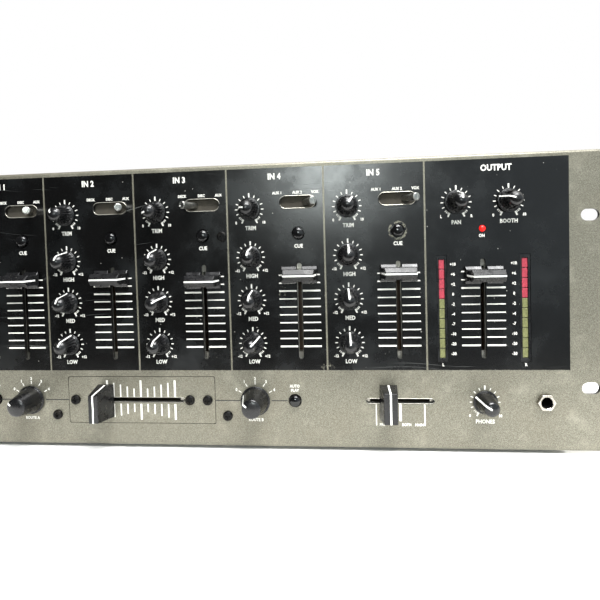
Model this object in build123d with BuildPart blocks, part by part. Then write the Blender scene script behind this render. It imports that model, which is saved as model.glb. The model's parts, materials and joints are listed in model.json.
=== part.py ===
"""A five-channel rack mixer: folded front panel, case, knobs, faders, selector levers,
keys, sockets, meters and boards.

X runs to the right as the operator sees the panel, Y runs from the operator into the
case and Z is up. The mixer stands on its feet at Z = 0. Everything is in millimetres.
Each control is made in a frame of its own: x to the right, y up the panel and z out of
the panel, with z = 0 on the panel's front face.
"""

import os
from math import cos, radians, sin, tan

from build123d import *

os.makedirs("parts", exist_ok=True)

# ---------------------------------------------------------------- driving dimensions
# Front panel, four rack units high
panel_width = 482.6
panel_height = 177.0
panel_sheet = 2.0
flange_width = 440.0
flange_depth = 12.0
edge_radius = 1.8
rack_slot_spacing_x = 465.1
rack_slot_spacing_z = 101.6
rack_slot_length = 10.2
rack_slot_width = 6.8

# Case behind the panel
case_width = 440.0
case_depth = 78.0
case_sheet = 1.2
case_inset = 6.0
lip_width = 7.0
foot_height = 8.0
foot_radius = 8.0
foot_inset_x = 24.0
foot_inset_y = 19.0
lip_stud_rows = (30.0, 88.0, 148.0)
lip_stud_length = 6.0
nut_radius = 2.9
nut_height = 2.4
cover_screw_columns = (-200.0, 0.0, 200.0)

# Panel layout: heights are measured from the panel's lower edge
strip_pitch = 60.0
channels = 5
master_strip_width = 82.0
knob_column = 14.0
fader_column = 44.0
gain_row = 149.2
treble_row = 119.5
mid_row = 92.7
bass_row = 65.9
selector_row = 152.5
key_row = 133.4
fader_row = 85.45
lower_row = 29.5

# Master strip
master_centre_offset = 33.3
master_knob_half_pitch = 15.0
meter_half_pitch = 23.9
power_light_row = 133.1

# Lower strip: columns from the left line of the strip above
assign_column = 14.4
start_column = 39.3
cue_mix_column = 43.5
phones_column = 68.0

# Rotary controls: skirt radius, top radius, height above the panel
small_knob = (6.85, 4.4, 14.2)
assign_knob = (9.3, 5.8, 16.5)
level_knob = (7.15, 4.5, 14.5)
skirt_gap = 1.0
skirt_thickness = 1.0
skirt_step = 0.9
knob_dome = 1.4
knob_roof = 3.0
pointer_width = 1.0
pointer_depth = 0.4
shaft_radius = 3.0
running_clearance = 0.05
shaft_hole_gap = 0.6
shaft_end_clearance = 0.5
pot_size = 11.0
pot_depth = 8.0
pot_floor = 2.0
bushing_wall = 1.35
seat_gap = 0.3

# Boards
board_sheet = 1.6
control_board_depth = 16.0
control_board_mic_gap = 7.0
control_board_jack_gap = 2.0
board_margin = 10.0
spacer_radius = 3.0
rear_board_span = (-152.0, 205.0)
rear_board_rows = (60.0, 160.0)

# Faders
fader_travel = 45.0
cue_travel = 30.0
fader_slot_overrun = 14.7
crossfader_slot_overrun = 11.8
cue_slot_overrun = 10.2
slot_width = 3.0
lever_width = 4.0
lever_sheet = 1.2
lever_slot_width = 2.4
carriage_width = 7.4
carriage_length = 9.0
carriage_depth = 4.4
carriage_set_back = 7.0
carriage_clearance = 0.25
track_wall = 0.8
track_end_wall = 1.5
track_overrun = 1.0
track_ear = 7.0
track_ear_sheet = 1.2

# Fader caps: length across the travel, width along it, ridge length, height
fader_cap = (22.0, 10.4, 18.0, 12.4)
crossfader_cap = (21.0, 10.5, 16.8, 18.0)
cue_cap = (21.0, 10.7, 18.1, 14.0)
cap_gap = 1.5
cap_shoulder = 3.4
cap_shoulder_rise = 1.8
cap_notch = 3.3
cap_hollow = 0.2
ridge_half_width = 1.1
cue_cap_top = 8.1
crossfader_cap_top = 6.0
cap_socket = 4.0

# Crossfader plate
plate_overhang = 26.0
plate_height = 29.8
plate_gap = 0.3
plate_radius = 1.2
fader_screw_overhang = 9.8
plate_screw_inset = 4.7
tab_inset = 10.0
tab_overlap = 4.3
tab_margin = 3.0

# Keys
key_radius = 3.6
key_hole_radius = 4.2
key_height = 3.0
key_dome = 1.0
key_flange_radius = 4.9
key_flange = 1.0
key_stem_radius = 1.5
key_travel = 1.2
key_stop_gap = 0.3
key_switch = (6.0, 4.0)

# Selector levers
selector_slot = 22.0
selector_slot_width = 7.4
selector_tilt = 25.5
selector_pivot_depth = 12.0
selector_reach = 9.0
selector_tip_radius = 2.35
selector_root_radius = 1.75
barrel_radius = 3.0
barrel_length = 7.0
barrel_clearance = 0.2
lever_clearance = 0.45
selector_body = (28.0, 12.0)
selector_face_depth = 3.0

# Meters and power light
meter_window = (5.8, 64.0)
meter_gap = 0.15
meter_set_back = 1.0
meter_rim = 1.0
segment_count = 10
segment_pitch = 5.97
segment_gap = 0.5
segment_width = 3.1
segment_rise = 0.5
light_radius = 1.9
light_height = 1.0
light_flange = 0.6

# Sockets
jack_bore_radius = 3.25
jack_nut_radius = 5.4
jack_nut_height = 2.2
jack_neck_radius = 4.4
jack_body = (9.0, 14.0, 24.0)
mic_column = 30.0
mic_flange = (26.0, 31.0)
mic_flange_sheet = 1.6
mic_barrel_radius = 12.0
mic_hole_gap = 0.2
mic_mouth_radius = 9.5
mic_mouth_depth = 4.0
mic_depth = 26.0
mic_bore_depth = 20.0
mic_screw_offset = (10.0, 12.5)
phono_radius = 4.15
phono_bore_radius = 1.75
phono_length = 9.0
phono_hole_gap = 0.25
phono_pitch = 18.0
phono_half_pitch = 11.0
phono_row = 120.0
phono_block = (12.0, 34.0, 14.0)
balanced_row = 80.0
balanced_block = (12.0, 14.0, 14.0)
power_row = 132.0
inlet_x = -196.0
inlet_opening = (28.0, 20.0)
inlet_cavity = (24.0, 16.0)
inlet_cavity_depth = 16.0
inlet_flange = (40.0, 26.0)
inlet_flange_sheet = 1.6
inlet_depth = 19.0
inlet_gap = 0.2
inlet_screw_offset = 17.0
blade = (2.0, 4.0, 13.0)
blade_offset = 7.0
blade_lift = 2.0
rocker_x = -160.0
rocker_opening = (13.0, 19.0)
rocker_rim = 2.0
rocker_rim_sheet = 1.4
rocker_wall = 1.0
rocker_depth = 12.0
rocker_clearance = 0.3
rocker_tilt = 8.0
rocker_crown = 1.0
ground_post_x = -160.0
ground_post_row = 100.0
ground_post_radius = 4.0
ground_post_length = 8.0

# Transformer on the case floor
transformer_wall_gap = 2.8
transformer_board_gap = 9.4
core = (52.0, 30.0, 40.0)
winding = (34.0, 42.0, 24.0)

# Screws
screw_head_radius = 3.1
screw_head = 1.6
screw_radius = 1.5
screw_hole_radius = 1.65
screw_length = 6.0
recess_width = 0.9
recess_length = 3.4
recess_depth = 0.8
field_screw_gap = 8.0
lower_screw_row = 19.7
upper_screws = ((15.2, 132.6), (-164.8, 132.6))
hidden_spacers = ((134.0, 132.6), (190.0, 19.7))

# ---------------------------------------------------------------- derived positions
panel_bottom = foot_height - case_inset
panel_top = panel_bottom + panel_height
case_bottom = foot_height
case_top = panel_top - case_inset
front_reach = crossfader_cap[3]
rear_reach = panel_sheet + case_depth + phono_length
panel_front = (front_reach - rear_reach) / 2
case_front = panel_front + panel_sheet
case_rear = case_front + case_depth
case_height = case_top - case_bottom

field_left = -(strip_pitch * (channels + 1) + master_strip_width) / 2
strips = [field_left + strip_pitch * n for n in range(channels + 2)]
mic_strip, *channel_strips, master_strip = strips
mic_x = mic_strip + mic_column
master_x = master_strip + master_centre_offset
crossfader_x = channel_strips[2]
assign_offset = strip_pitch + assign_column
start_offset = strip_pitch + start_column
cue_mix_x = channel_strips[-1] + cue_mix_column
phones_x = master_strip + phones_column

shaft_hole_radius = shaft_radius + shaft_hole_gap
bushing_radius = shaft_radius + running_clearance + bushing_wall
fader_slot = fader_travel + fader_slot_overrun
crossfader_slot = fader_travel + crossfader_slot_overrun
cue_slot = cue_travel + cue_slot_overrun
plate_width = fader_travel + 2 * plate_overhang
fader_screw_offset = fader_travel / 2 + fader_screw_overhang
plate_screw_offset = plate_width / 2 - plate_screw_inset
tab_inner = plate_width / 2 - tab_inset
tab_outer = plate_width / 2 + tab_overlap
field_screw_offset = plate_width / 2 + field_screw_gap
rows = {"gain": gain_row, "treble": treble_row, "mid": mid_row, "bass": bass_row}


def up(height):
    """Z of a height above the panel's lower edge."""
    return panel_bottom + height


def on_panel(x, height, turn=0.0):
    """Where a control's own frame stands on the panel, turned clockwise by turn."""
    face = Plane(origin=(x, panel_front, up(height)), x_dir=(1, 0, 0), z_dir=(0, -1, 0))
    return face.location * Location((0, 0, 0), (0, 0, -turn))


def on_rear(x, height):
    """The same for a piece on the case's rear face, where x runs to the left."""
    face = Plane(origin=(x, case_rear, up(height)), x_dir=(-1, 0, 0), z_dir=(0, 1, 0))
    return face.location


def front(depth=0.0):
    """Sketch plane across the whole panel, depth behind its front face: local x is X
    and local y is the height above the panel's lower edge."""
    return Plane(
        origin=(0, panel_front + depth, up(0)), x_dir=(1, 0, 0), z_dir=(0, -1, 0)
    )


def rear(inset=0.0):
    """Sketch plane across the case's rear face, seen from the front, like front()."""
    return Plane(origin=(0, case_rear - inset, up(0)), x_dir=(1, 0, 0), z_dir=(0, -1, 0))


def save(solids, name):
    """Writes one node, made of one or more separate solids."""
    solids = list(solids)
    whole = solids[0] if len(solids) == 1 else Compound(children=solids)
    whole.label = name
    export_step(whole, f"parts/{name}.step")


def placed(part, places):
    """Copies of a part's solids at each place."""
    return [solid.moved(place) for place in places for solid in part.solids()]


def box_between(low, high, mode=Mode.ADD):
    """A block from one corner to the opposite one."""
    with Locations(tuple((a + b) / 2 for a, b in zip(low, high))):
        Box(*(b - a for a, b in zip(low, high)), mode=mode)


# ---------------------------------------------------------------- where controls stand
# Rotary controls: column, row and the way the pointer rests, clockwise from straight up
knob_rest = {
    "ch3_gain_knob": -108, "ch3_treble_knob": 2, "ch3_mid_knob": 57, "ch3_bass_knob": 8,
    "ch4_gain_knob": -85, "ch4_treble_knob": 8, "ch4_mid_knob": 6, "ch4_bass_knob": 47,
    "ch5_gain_knob": 32, "ch5_treble_knob": 2, "ch5_mid_knob": -3, "ch5_bass_knob": 0,
    "ch1_gain_knob": -60, "ch2_gain_knob": -40, "ch2_treble_knob": 10, "ch2_bass_knob": 15,
    "balance_knob": 8, "booth_knob": -68, "cue_level_knob": -60, "mic_level_knob": -110,
    "assign_a_knob": -60, "assign_b_knob": -60,
}  # fmt: skip
small_knobs = {
    f"ch{n}_{band}_knob": (left + knob_column, row)
    for n, left in enumerate(channel_strips, start=1)
    for band, row in rows.items()
}
small_knobs["balance_knob"] = (master_x - master_knob_half_pitch, gain_row)
small_knobs["booth_knob"] = (master_x + master_knob_half_pitch, gain_row)
assign_knobs = {
    "assign_a_knob": (crossfader_x - assign_offset, lower_row),
    "assign_b_knob": (crossfader_x + assign_offset, lower_row),
}
level_knobs = {
    "cue_level_knob": (master_x, lower_row),
    "mic_level_knob": (mic_x, gain_row),
}
rotary = {**small_knobs, **assign_knobs, **level_knobs}

selectors = {
    f"ch{n}_selector_lever": (left + fader_column, selector_row)
    for n, left in enumerate(channel_strips, start=1)
}
selectors_to_left = ["ch3_selector_lever"]

keys = {
    f"ch{n}_cue_button": (left + fader_column, key_row)
    for n, left in enumerate(channel_strips, start=1)
}
keys["start_a_button"] = (crossfader_x - start_offset, lower_row)
keys["start_b_button"] = (crossfader_x + start_offset, lower_row)

# Upright faders: column and where the lever rests, from the slot's middle
raised = fader_travel / 2
nearly_raised = raised - 2.3
upright_faders = {
    "ch1_fader": (channel_strips[0] + fader_column, raised),
    "ch2_fader": (channel_strips[1] + fader_column, raised),
    "ch3_fader": (channel_strips[2] + fader_column, nearly_raised),
    "ch4_fader": (channel_strips[3] + fader_column, raised),
    "ch5_fader": (channel_strips[4] + fader_column, raised),
    "master_fader": (master_x, nearly_raised),
}
crossfader_rest = -fader_travel / 2
cue_mix_rest = -7.2

meters = [(master_x + side * meter_half_pitch, fader_row) for side in (-1, 1)]
lower_screws = [(crossfader_x + side * field_screw_offset, lower_screw_row) for side in (-1, 1)]
board_screws = [*upper_screws, *lower_screws]
spacers = [*board_screws, *hidden_spacers]
plate_screws = [(crossfader_x + side * plate_screw_offset, lower_row) for side in (-1, 1)]
fader_screws = [(crossfader_x + side * fader_screw_offset, lower_row) for side in (-1, 1)]
mic_screws = [
    (mic_x + side * mic_screw_offset[0], mid_row + side * mic_screw_offset[1])
    for side in (-1, 1)
]
lip_studs = [
    (side * (case_width / 2 - lip_width / 2 - case_sheet / 2), row)
    for side in (-1, 1)
    for row in lip_stud_rows
]

phono_columns = [
    left + strip_pitch / 2 + side * phono_half_pitch
    for left in [*channel_strips, master_strip]
    for side in (-1, 1)
]
balanced_columns = phono_columns[-2:]
cover_screws = [
    (x, case_front + y)
    for x in cover_screw_columns
    for y in (case_depth - lip_width / 2 - case_sheet / 2,)
] + [
    (side * (case_width / 2 - lip_width / 2 - case_sheet / 2), case_front + case_depth / 3)
    for side in (-1, 1)
]


# ---------------------------------------------------------------- front panel
with BuildPart() as front_panel:
    with BuildSketch(front(panel_sheet)):
        with Locations((0, panel_height / 2)):
            Rectangle(panel_width, panel_height)
    extrude(amount=panel_sheet)
    # Folded flanges, short of the rack ears
    with BuildSketch(front(panel_sheet)):
        for edge in (panel_sheet / 2, panel_height - panel_sheet / 2):
            with Locations((0, edge)):
                Rectangle(flange_width, panel_sheet)
    extrude(amount=-(flange_depth - panel_sheet))
    long_front_edges = front_panel.edges().filter_by(Axis.X).group_by(Axis.Y)[0]
    fillet(long_front_edges, edge_radius)
    # Every opening in the face
    with BuildSketch(front()):
        with Locations(*rotary.values()):
            Circle(shaft_hole_radius)
        with Locations(*keys.values()):
            Circle(key_hole_radius)
        with Locations((master_x, power_light_row)):
            Circle(light_radius + meter_gap)
        with Locations((mic_x, mid_row)):
            Circle(mic_barrel_radius + mic_hole_gap)
        with Locations((phones_x, lower_row)):
            Circle(jack_neck_radius + mic_hole_gap)
        with Locations(*board_screws, *mic_screws):
            Circle(screw_hole_radius)
        with Locations(*selectors.values()):
            SlotOverall(selector_slot, selector_slot_width)
        with Locations(*((x, fader_row) for x, _ in upright_faders.values())):
            SlotOverall(fader_slot, slot_width, rotation=90)
        with Locations((cue_mix_x, lower_row)):
            SlotOverall(cue_slot, slot_width)
        with Locations(*meters):
            Rectangle(*(side + 2 * meter_gap for side in meter_window))
        with Locations((crossfader_x, lower_row)):
            RectangleRounded(
                plate_width + 2 * plate_gap, plate_height + 2 * plate_gap, plate_radius
            )
        with Locations((0, panel_height / 2)):
            with GridLocations(rack_slot_spacing_x, rack_slot_spacing_z, 2, 2):
                SlotOverall(rack_slot_length, rack_slot_width)
    extrude(amount=-panel_sheet, mode=Mode.SUBTRACT)
    # Tabs welded on behind the crossfader's opening, for its plate's outer screws
    with BuildSketch(front(panel_sheet)):
        for side in (-1, 1):
            with Locations((crossfader_x + side * (tab_inner + tab_outer) / 2, lower_row)):
                Rectangle(tab_outer - tab_inner, plate_height - 2 * tab_margin)
        with Locations(*plate_screws):
            Circle(screw_hole_radius, mode=Mode.SUBTRACT)
    extrude(amount=-panel_sheet)
    # Studs that the case's front lips bolt to
    with BuildSketch(front(panel_sheet)):
        with Locations(*lip_studs):
            Circle(screw_radius)
    extrude(amount=-lip_stud_length)
save(front_panel.solids(), "front_panel")

with BuildPart() as crossfader_plate:
    with BuildSketch(front(panel_sheet)):
        with Locations((crossfader_x, lower_row)):
            RectangleRounded(plate_width, plate_height, plate_radius)
            SlotOverall(crossfader_slot, slot_width, mode=Mode.SUBTRACT)
        with Locations(*plate_screws, *fader_screws):
            Circle(screw_hole_radius, mode=Mode.SUBTRACT)
    extrude(amount=panel_sheet)
save(crossfader_plate.solids(), "crossfader_plate")


# ---------------------------------------------------------------- case
rocker_hole = tuple(side + 2 * inlet_gap for side in rocker_opening)
inlet_hole = tuple(side + 2 * inlet_gap for side in inlet_opening)
inlet_screws = [(inlet_x + side * inlet_screw_offset, power_row) for side in (-1, 1)]

with BuildPart() as rear_housing:
    box_between(
        (-case_width / 2, case_front, case_bottom),
        (case_width / 2, case_rear, case_top - case_sheet),
    )
    inner_x = case_width / 2 - case_sheet
    box_between(
        (-inner_x, case_front + case_sheet, case_bottom + case_sheet),
        (inner_x, case_rear - case_sheet, case_top - 2 * case_sheet),
        mode=Mode.SUBTRACT,
    )
    # The front is open inside its lips, and so is the top under the cover
    mouth_x = inner_x - lip_width
    box_between(
        (-mouth_x, case_front, case_bottom + case_sheet + lip_width),
        (mouth_x, case_front + case_sheet, case_top - case_sheet),
        mode=Mode.SUBTRACT,
    )
    box_between(
        (-mouth_x, case_front, case_top - 2 * case_sheet),
        (mouth_x, case_rear - case_sheet - lip_width, case_top - case_sheet),
        mode=Mode.SUBTRACT,
    )
    with BuildSketch(front(panel_sheet)):
        with Locations(*lip_studs):
            Circle(screw_hole_radius)
    extrude(amount=-case_sheet, mode=Mode.SUBTRACT)
    with BuildSketch(Plane.XY.offset(case_top - case_sheet)):
        with Locations(*cover_screws):
            Circle(screw_hole_radius)
    extrude(amount=-case_sheet, mode=Mode.SUBTRACT)
    # Openings in the rear face
    with BuildSketch(rear()):
        for x in phono_columns:
            with Locations((x, phono_row)):
                with GridLocations(0, phono_pitch, 1, 2):
                    Circle(phono_radius + phono_hole_gap)
        with Locations(*((x, balanced_row) for x in balanced_columns)):
            Circle(jack_neck_radius + mic_hole_gap)
        with Locations((inlet_x, power_row)):
            Rectangle(*inlet_hole)
        with Locations(*inlet_screws):
            Circle(screw_hole_radius)
        with Locations((rocker_x, power_row)):
            Rectangle(*rocker_hole)
        with Locations((ground_post_x, ground_post_row)):
            Circle(screw_hole_radius)
    extrude(amount=case_sheet, mode=Mode.SUBTRACT)
save(rear_housing.solids(), "rear_housing")

with BuildPart() as top_cover:
    with BuildSketch(Plane.XY.offset(case_top - case_sheet)):
        with Locations((0, (case_front + case_rear) / 2)):
            Rectangle(case_width, case_depth)
        with Locations(*cover_screws):
            Circle(screw_hole_radius, mode=Mode.SUBTRACT)
    extrude(amount=case_sheet)
save(top_cover.solids(), "top_cover")

with BuildPart() as feet:
    foot_x = case_width / 2 - foot_inset_x
    foot_y = (case_front + case_rear) / 2
    with BuildSketch(Plane.XY.offset(case_bottom)):
        with Locations((0, foot_y)):
            with GridLocations(2 * foot_x, case_depth - 2 * foot_inset_y, 2, 2):
                Circle(foot_radius)
    extrude(amount=-foot_height, taper=6)
save(feet.solids(), "feet")


# ---------------------------------------------------------------- knobs
def turned_knob(skirt_radius, top_radius, height):
    """Skirted knob with a domed top and a pointer groove, on its own shaft."""
    shoulder = height - knob_dome
    skirt_top = skirt_gap + skirt_thickness
    roof = height - knob_roof
    with BuildPart() as knob:
        with BuildSketch(Plane.XZ):
            with BuildLine():
                Polyline(
                    (0, roof),
                    (shaft_radius, roof),
                    (shaft_radius, skirt_gap),
                    (skirt_radius, skirt_gap),
                    (skirt_radius, skirt_top),
                    (skirt_radius - skirt_step, skirt_top),
                    (top_radius, shoulder),
                )
                ThreePointArc(
                    (top_radius, shoulder),
                    (top_radius * sin(radians(45)), height - knob_dome * (1 - cos(radians(45)))),
                    (0, height),
                )
                Line((0, height), (0, roof))
            make_face()
        revolve(axis=Axis.Z)
        box_between(
            (-pointer_width / 2, 0, height - pointer_depth),
            (pointer_width / 2, top_radius, height + pointer_depth),
            mode=Mode.SUBTRACT,
        )
    return knob.part


def knob_shaft(height):
    """The shaft from the control's bearing up into its knob."""
    low = -(control_board_depth - pot_floor - shaft_end_clearance)
    with BuildPart() as shaft:
        with BuildSketch(Plane.XY.offset(low)):
            Circle(shaft_radius)
        extrude(amount=height - knob_roof - low)
    return shaft.part


for family, size in (
    (small_knobs, small_knob),
    (assign_knobs, assign_knob),
    (level_knobs, level_knob),
):
    knob = turned_knob(*size)
    shaft = knob_shaft(size[2])
    for name, (x, height) in family.items():
        place = on_panel(x, height, knob_rest.get(name, 0))
        save([*placed(knob, [place]), *placed(shaft, [place])], name)


# ---------------------------------------------------------------- faders
def lever_cap(length, width, top_length, height, top_width=0.0):
    """Cap with sloping ends and a socket for the lever. Its flanks are straight up to
    top_width. With no top_width they are hollow, rise to a ridge, and stand on ledges
    that are notched for the lever."""
    shoulder = cap_gap + cap_shoulder_rise
    flank = (cap_shoulder + ridge_half_width) / 2 - cap_hollow
    with BuildPart() as cap:
        with BuildSketch(Plane.YZ):
            with BuildLine():
                Line((0, cap_gap), (width / 2, cap_gap))
                if top_width:
                    Polyline((width / 2, cap_gap), (top_width / 2, height), (0, height))
                else:
                    Line((width / 2, cap_gap), (cap_shoulder, shoulder))
                    ThreePointArc(
                        (cap_shoulder, shoulder),
                        (flank, (shoulder + height) / 2),
                        (ridge_half_width, height),
                    )
                    Line((ridge_half_width, height), (0, height))
                mirror(about=Plane.YZ)
            make_face()
        extrude(amount=length / 2, both=True)
        with BuildSketch(Plane.XZ):
            with BuildLine():
                Polyline(
                    (-length / 2, cap_gap),
                    (length / 2, cap_gap),
                    (top_length / 2, height),
                    (-top_length / 2, height),
                    close=True,
                )
            make_face()
        extrude(amount=width, both=True, mode=Mode.INTERSECT)
        box_between(
            (-lever_sheet / 2, -lever_width / 2, cap_gap),
            (lever_sheet / 2, lever_width / 2, cap_gap + cap_socket),
            mode=Mode.SUBTRACT,
        )
        if not top_width:
            for inner, outer in ((-width / 2, -cap_shoulder), (cap_shoulder, width / 2)):
                box_between(
                    (-cap_notch / 2, inner, cap_gap),
                    (cap_notch / 2, outer, shoulder),
                    mode=Mode.SUBTRACT,
                )
    return cap.part


with BuildPart() as fader_lever:
    box_between(
        (-carriage_width / 2, -carriage_length / 2, -carriage_set_back - carriage_depth),
        (carriage_width / 2, carriage_length / 2, -carriage_set_back),
    )
    box_between(
        (-lever_sheet / 2, -lever_width / 2, -carriage_set_back),
        (lever_sheet / 2, lever_width / 2, cap_gap + cap_socket),
    )


def fader_track(travel):
    """Channel with its open side to the board, and a slotted front with two ears."""
    inner = travel / 2 + carriage_length / 2 + track_overrun
    outer = inner + track_end_wall
    half_width = carriage_width / 2 + carriage_clearance
    ear_back = -panel_sheet - track_ear_sheet
    with BuildPart() as track:
        box_between(
            (-half_width - track_wall, -outer, -control_board_depth),
            (half_width + track_wall, outer, -panel_sheet),
        )
        box_between(
            (-half_width - track_wall, -outer - track_ear, ear_back),
            (half_width + track_wall, outer + track_ear, -panel_sheet),
        )
        box_between(
            (-half_width, -inner, -control_board_depth),
            (half_width, inner, ear_back),
            mode=Mode.SUBTRACT,
        )
        lever_run = travel / 2 + lever_width / 2 + track_overrun
        box_between(
            (-lever_slot_width / 2, -lever_run, ear_back),
            (lever_slot_width / 2, lever_run, -panel_sheet),
            mode=Mode.SUBTRACT,
        )
    return track.part


def screwed(track):
    """The crossfader's track, with the holes that hold it to its plate."""
    with BuildPart() as drilled:
        add(track)
        with BuildSketch(Plane.XY):
            with Locations((0, fader_screw_offset), (0, -fader_screw_offset)):
                Circle(screw_hole_radius)
        extrude(amount=-control_board_depth / 2, mode=Mode.SUBTRACT)
    return drilled.part


upright_cap = lever_cap(*fader_cap)
for name, (x, rest) in upright_faders.items():
    place = on_panel(x, fader_row + rest)
    save([*placed(upright_cap, [place]), *placed(fader_lever.part, [place])], name)

crossfader_place = on_panel(crossfader_x + crossfader_rest, lower_row, turn=90)
save(
    [
        *placed(lever_cap(*crossfader_cap, crossfader_cap_top), [crossfader_place]),
        *placed(fader_lever.part, [crossfader_place]),
    ],
    "crossfader",
)
cue_mix_place = on_panel(cue_mix_x + cue_mix_rest, lower_row, turn=90)
save(
    [
        *placed(lever_cap(*cue_cap, cue_cap_top), [cue_mix_place]),
        *placed(fader_lever.part, [cue_mix_place]),
    ],
    "cue_mix_fader",
)

upright_track = fader_track(fader_travel)
tracks = placed(upright_track, [on_panel(x, fader_row) for x, _ in upright_faders.values()])
tracks += placed(screwed(upright_track), [on_panel(crossfader_x, lower_row, turn=90)])
tracks += placed(fader_track(cue_travel), [on_panel(cue_mix_x, lower_row, turn=90)])
save(tracks, "fader_tracks")


# ---------------------------------------------------------------- keys
with BuildPart() as key:
    with BuildSketch(Plane.XY.offset(-panel_sheet - seat_gap)):
        Circle(key_radius)
    extrude(amount=panel_sheet + seat_gap + key_height)
    fillet(key.edges().group_by(Axis.Z)[-1], key_dome)
    flange_back = -panel_sheet - seat_gap - key_flange
    with BuildSketch(Plane.XY.offset(flange_back)):
        Circle(key_flange_radius)
    extrude(amount=key_flange)
    stem_end = -(control_board_depth - key_switch[1] - key_travel - key_stop_gap)
    with BuildSketch(Plane.XY.offset(stem_end)):
        Circle(key_stem_radius)
    extrude(amount=flange_back - stem_end)

for name, (x, height) in keys.items():
    save(placed(key.part, [on_panel(x, height)]), name)


# ---------------------------------------------------------------- selector levers
with BuildPart() as selector_lever:
    # Upright at the pivot first: the barrel lies along y, the rod stands along z
    rod_length = (selector_pivot_depth + selector_reach) / cos(radians(selector_tilt))
    with BuildSketch(Plane.XZ.offset(-barrel_length / 2)):
        Circle(barrel_radius)
    extrude(amount=barrel_length)
    with BuildSketch(Plane.XZ):
        with BuildLine():
            Polyline(
                (0, 0),
                (selector_root_radius, 0),
                (selector_tip_radius, rod_length - selector_tip_radius),
            )
            CenterArc(
                (0, rod_length - selector_tip_radius), selector_tip_radius, 0, 90
            )
            Line((0, rod_length), (0, 0))
        make_face()
    revolve(axis=Axis.Z)

for name, (x, height) in selectors.items():
    lean = -selector_tilt if name in selectors_to_left else selector_tilt
    pivot = Location((0, 0, -selector_pivot_depth), (0, lean, 0))
    save(placed(selector_lever.part, [on_panel(x, height) * pivot]), name)


# ---------------------------------------------------------------- what the controls turn in
with BuildPart() as pot:
    body_front = -(control_board_depth - pot_depth)
    box_between(
        (-pot_size / 2, -pot_size / 2, -control_board_depth),
        (pot_size / 2, pot_size / 2, body_front),
    )
    with BuildSketch(Plane.XY.offset(body_front)):
        Circle(bushing_radius)
    extrude(amount=-panel_sheet - seat_gap - body_front)
    with BuildSketch(Plane.XY.offset(-panel_sheet)):
        Circle(shaft_radius + running_clearance)
    extrude(amount=-(control_board_depth - pot_floor - panel_sheet), mode=Mode.SUBTRACT)

with BuildPart() as selector_switch:
    half_x, half_y = (side / 2 for side in selector_body)
    box_between(
        (-half_x, -half_y, -control_board_depth), (half_x, half_y, -selector_face_depth)
    )
    pocket = barrel_length / 2 + barrel_clearance
    with BuildSketch(Plane.XZ.offset(-pocket)):
        with Locations((0, -selector_pivot_depth)):
            Circle(barrel_radius + barrel_clearance)
    extrude(amount=2 * pocket, mode=Mode.SUBTRACT)
    # The lever's swing opens towards the panel
    rod_half = selector_tip_radius + lever_clearance
    swing = selector_pivot_depth * tan(radians(selector_tilt)) + rod_half / cos(
        radians(selector_tilt)
    )
    with BuildSketch(Plane.XZ.offset(-rod_half)):
        with BuildLine():
            Polyline(
                (-rod_half, -selector_pivot_depth),
                (rod_half, -selector_pivot_depth),
                (swing, 0),
                (-swing, 0),
                close=True,
            )
        make_face()
    extrude(amount=2 * rod_half, mode=Mode.SUBTRACT)

with BuildPart() as key_body:
    half = key_switch[0] / 2
    box_between(
        (-half, -half, -control_board_depth),
        (half, half, -control_board_depth + key_switch[1]),
    )

bodies = placed(pot.part, [on_panel(*place) for place in rotary.values()])
bodies += placed(selector_switch.part, [on_panel(*place) for place in selectors.values()])
bodies += placed(key_body.part, [on_panel(*place) for place in keys.values()])
save(bodies, "control_bodies")


# ---------------------------------------------------------------- meters and power light
with BuildPart() as meter:
    half_x, half_y = (side / 2 for side in meter_window)
    box_between((-half_x, -half_y, -panel_sheet - seat_gap), (half_x, half_y, -meter_set_back))
    box_between(
        (-half_x - meter_rim, -half_y - meter_rim, -control_board_depth),
        (half_x + meter_rim, half_y + meter_rim, -panel_sheet - seat_gap),
    )

with BuildPart() as segment:
    with Locations((0, 0, -meter_set_back + segment_rise / 2)):
        Box(segment_width, segment_pitch - segment_gap, segment_rise)

with BuildPart() as power_light:
    with BuildSketch(Plane.XY.offset(-control_board_depth)):
        Circle(light_radius)
    extrude(amount=control_board_depth + light_height)
    fillet(power_light.edges().group_by(Axis.Z)[-1], light_height * 0.9)
    with BuildSketch(Plane.XY.offset(-panel_sheet - seat_gap)):
        Circle(light_radius + light_flange)
    extrude(amount=-light_flange)

displays = placed(meter.part, [on_panel(*place) for place in meters])
for x, middle in meters:
    segment_rows = [
        middle + segment_pitch * (n - (segment_count - 1) / 2) for n in range(segment_count)
    ]
    displays += placed(segment.part, [on_panel(x, row) for row in segment_rows])
displays += placed(power_light.part, [on_panel(master_x, power_light_row)])
save(displays, "level_meters")


# ---------------------------------------------------------------- boards and transformer
with BuildPart() as control_board:
    low_x = mic_x + mic_barrel_radius + control_board_mic_gap
    high_x = phones_x - jack_body[0] / 2 - control_board_jack_gap
    with BuildSketch(front(control_board_depth)):
        with Locations(((low_x + high_x) / 2, panel_height / 2)):
            Rectangle(high_x - low_x, case_height - 2 * board_margin)
        with Locations(*spacers):
            Circle(screw_hole_radius, mode=Mode.SUBTRACT)
    extrude(amount=-board_sheet)

with BuildPart() as rear_board:
    low_x, high_x = rear_board_span
    low_z, high_z = rear_board_rows
    rear_board_front = case_sheet + phono_block[2] + board_sheet
    with BuildSketch(rear(rear_board_front)):
        with Locations(((low_x + high_x) / 2, (low_z + high_z) / 2)):
            Rectangle(high_x - low_x, high_z - low_z)
    extrude(amount=-board_sheet)

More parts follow.
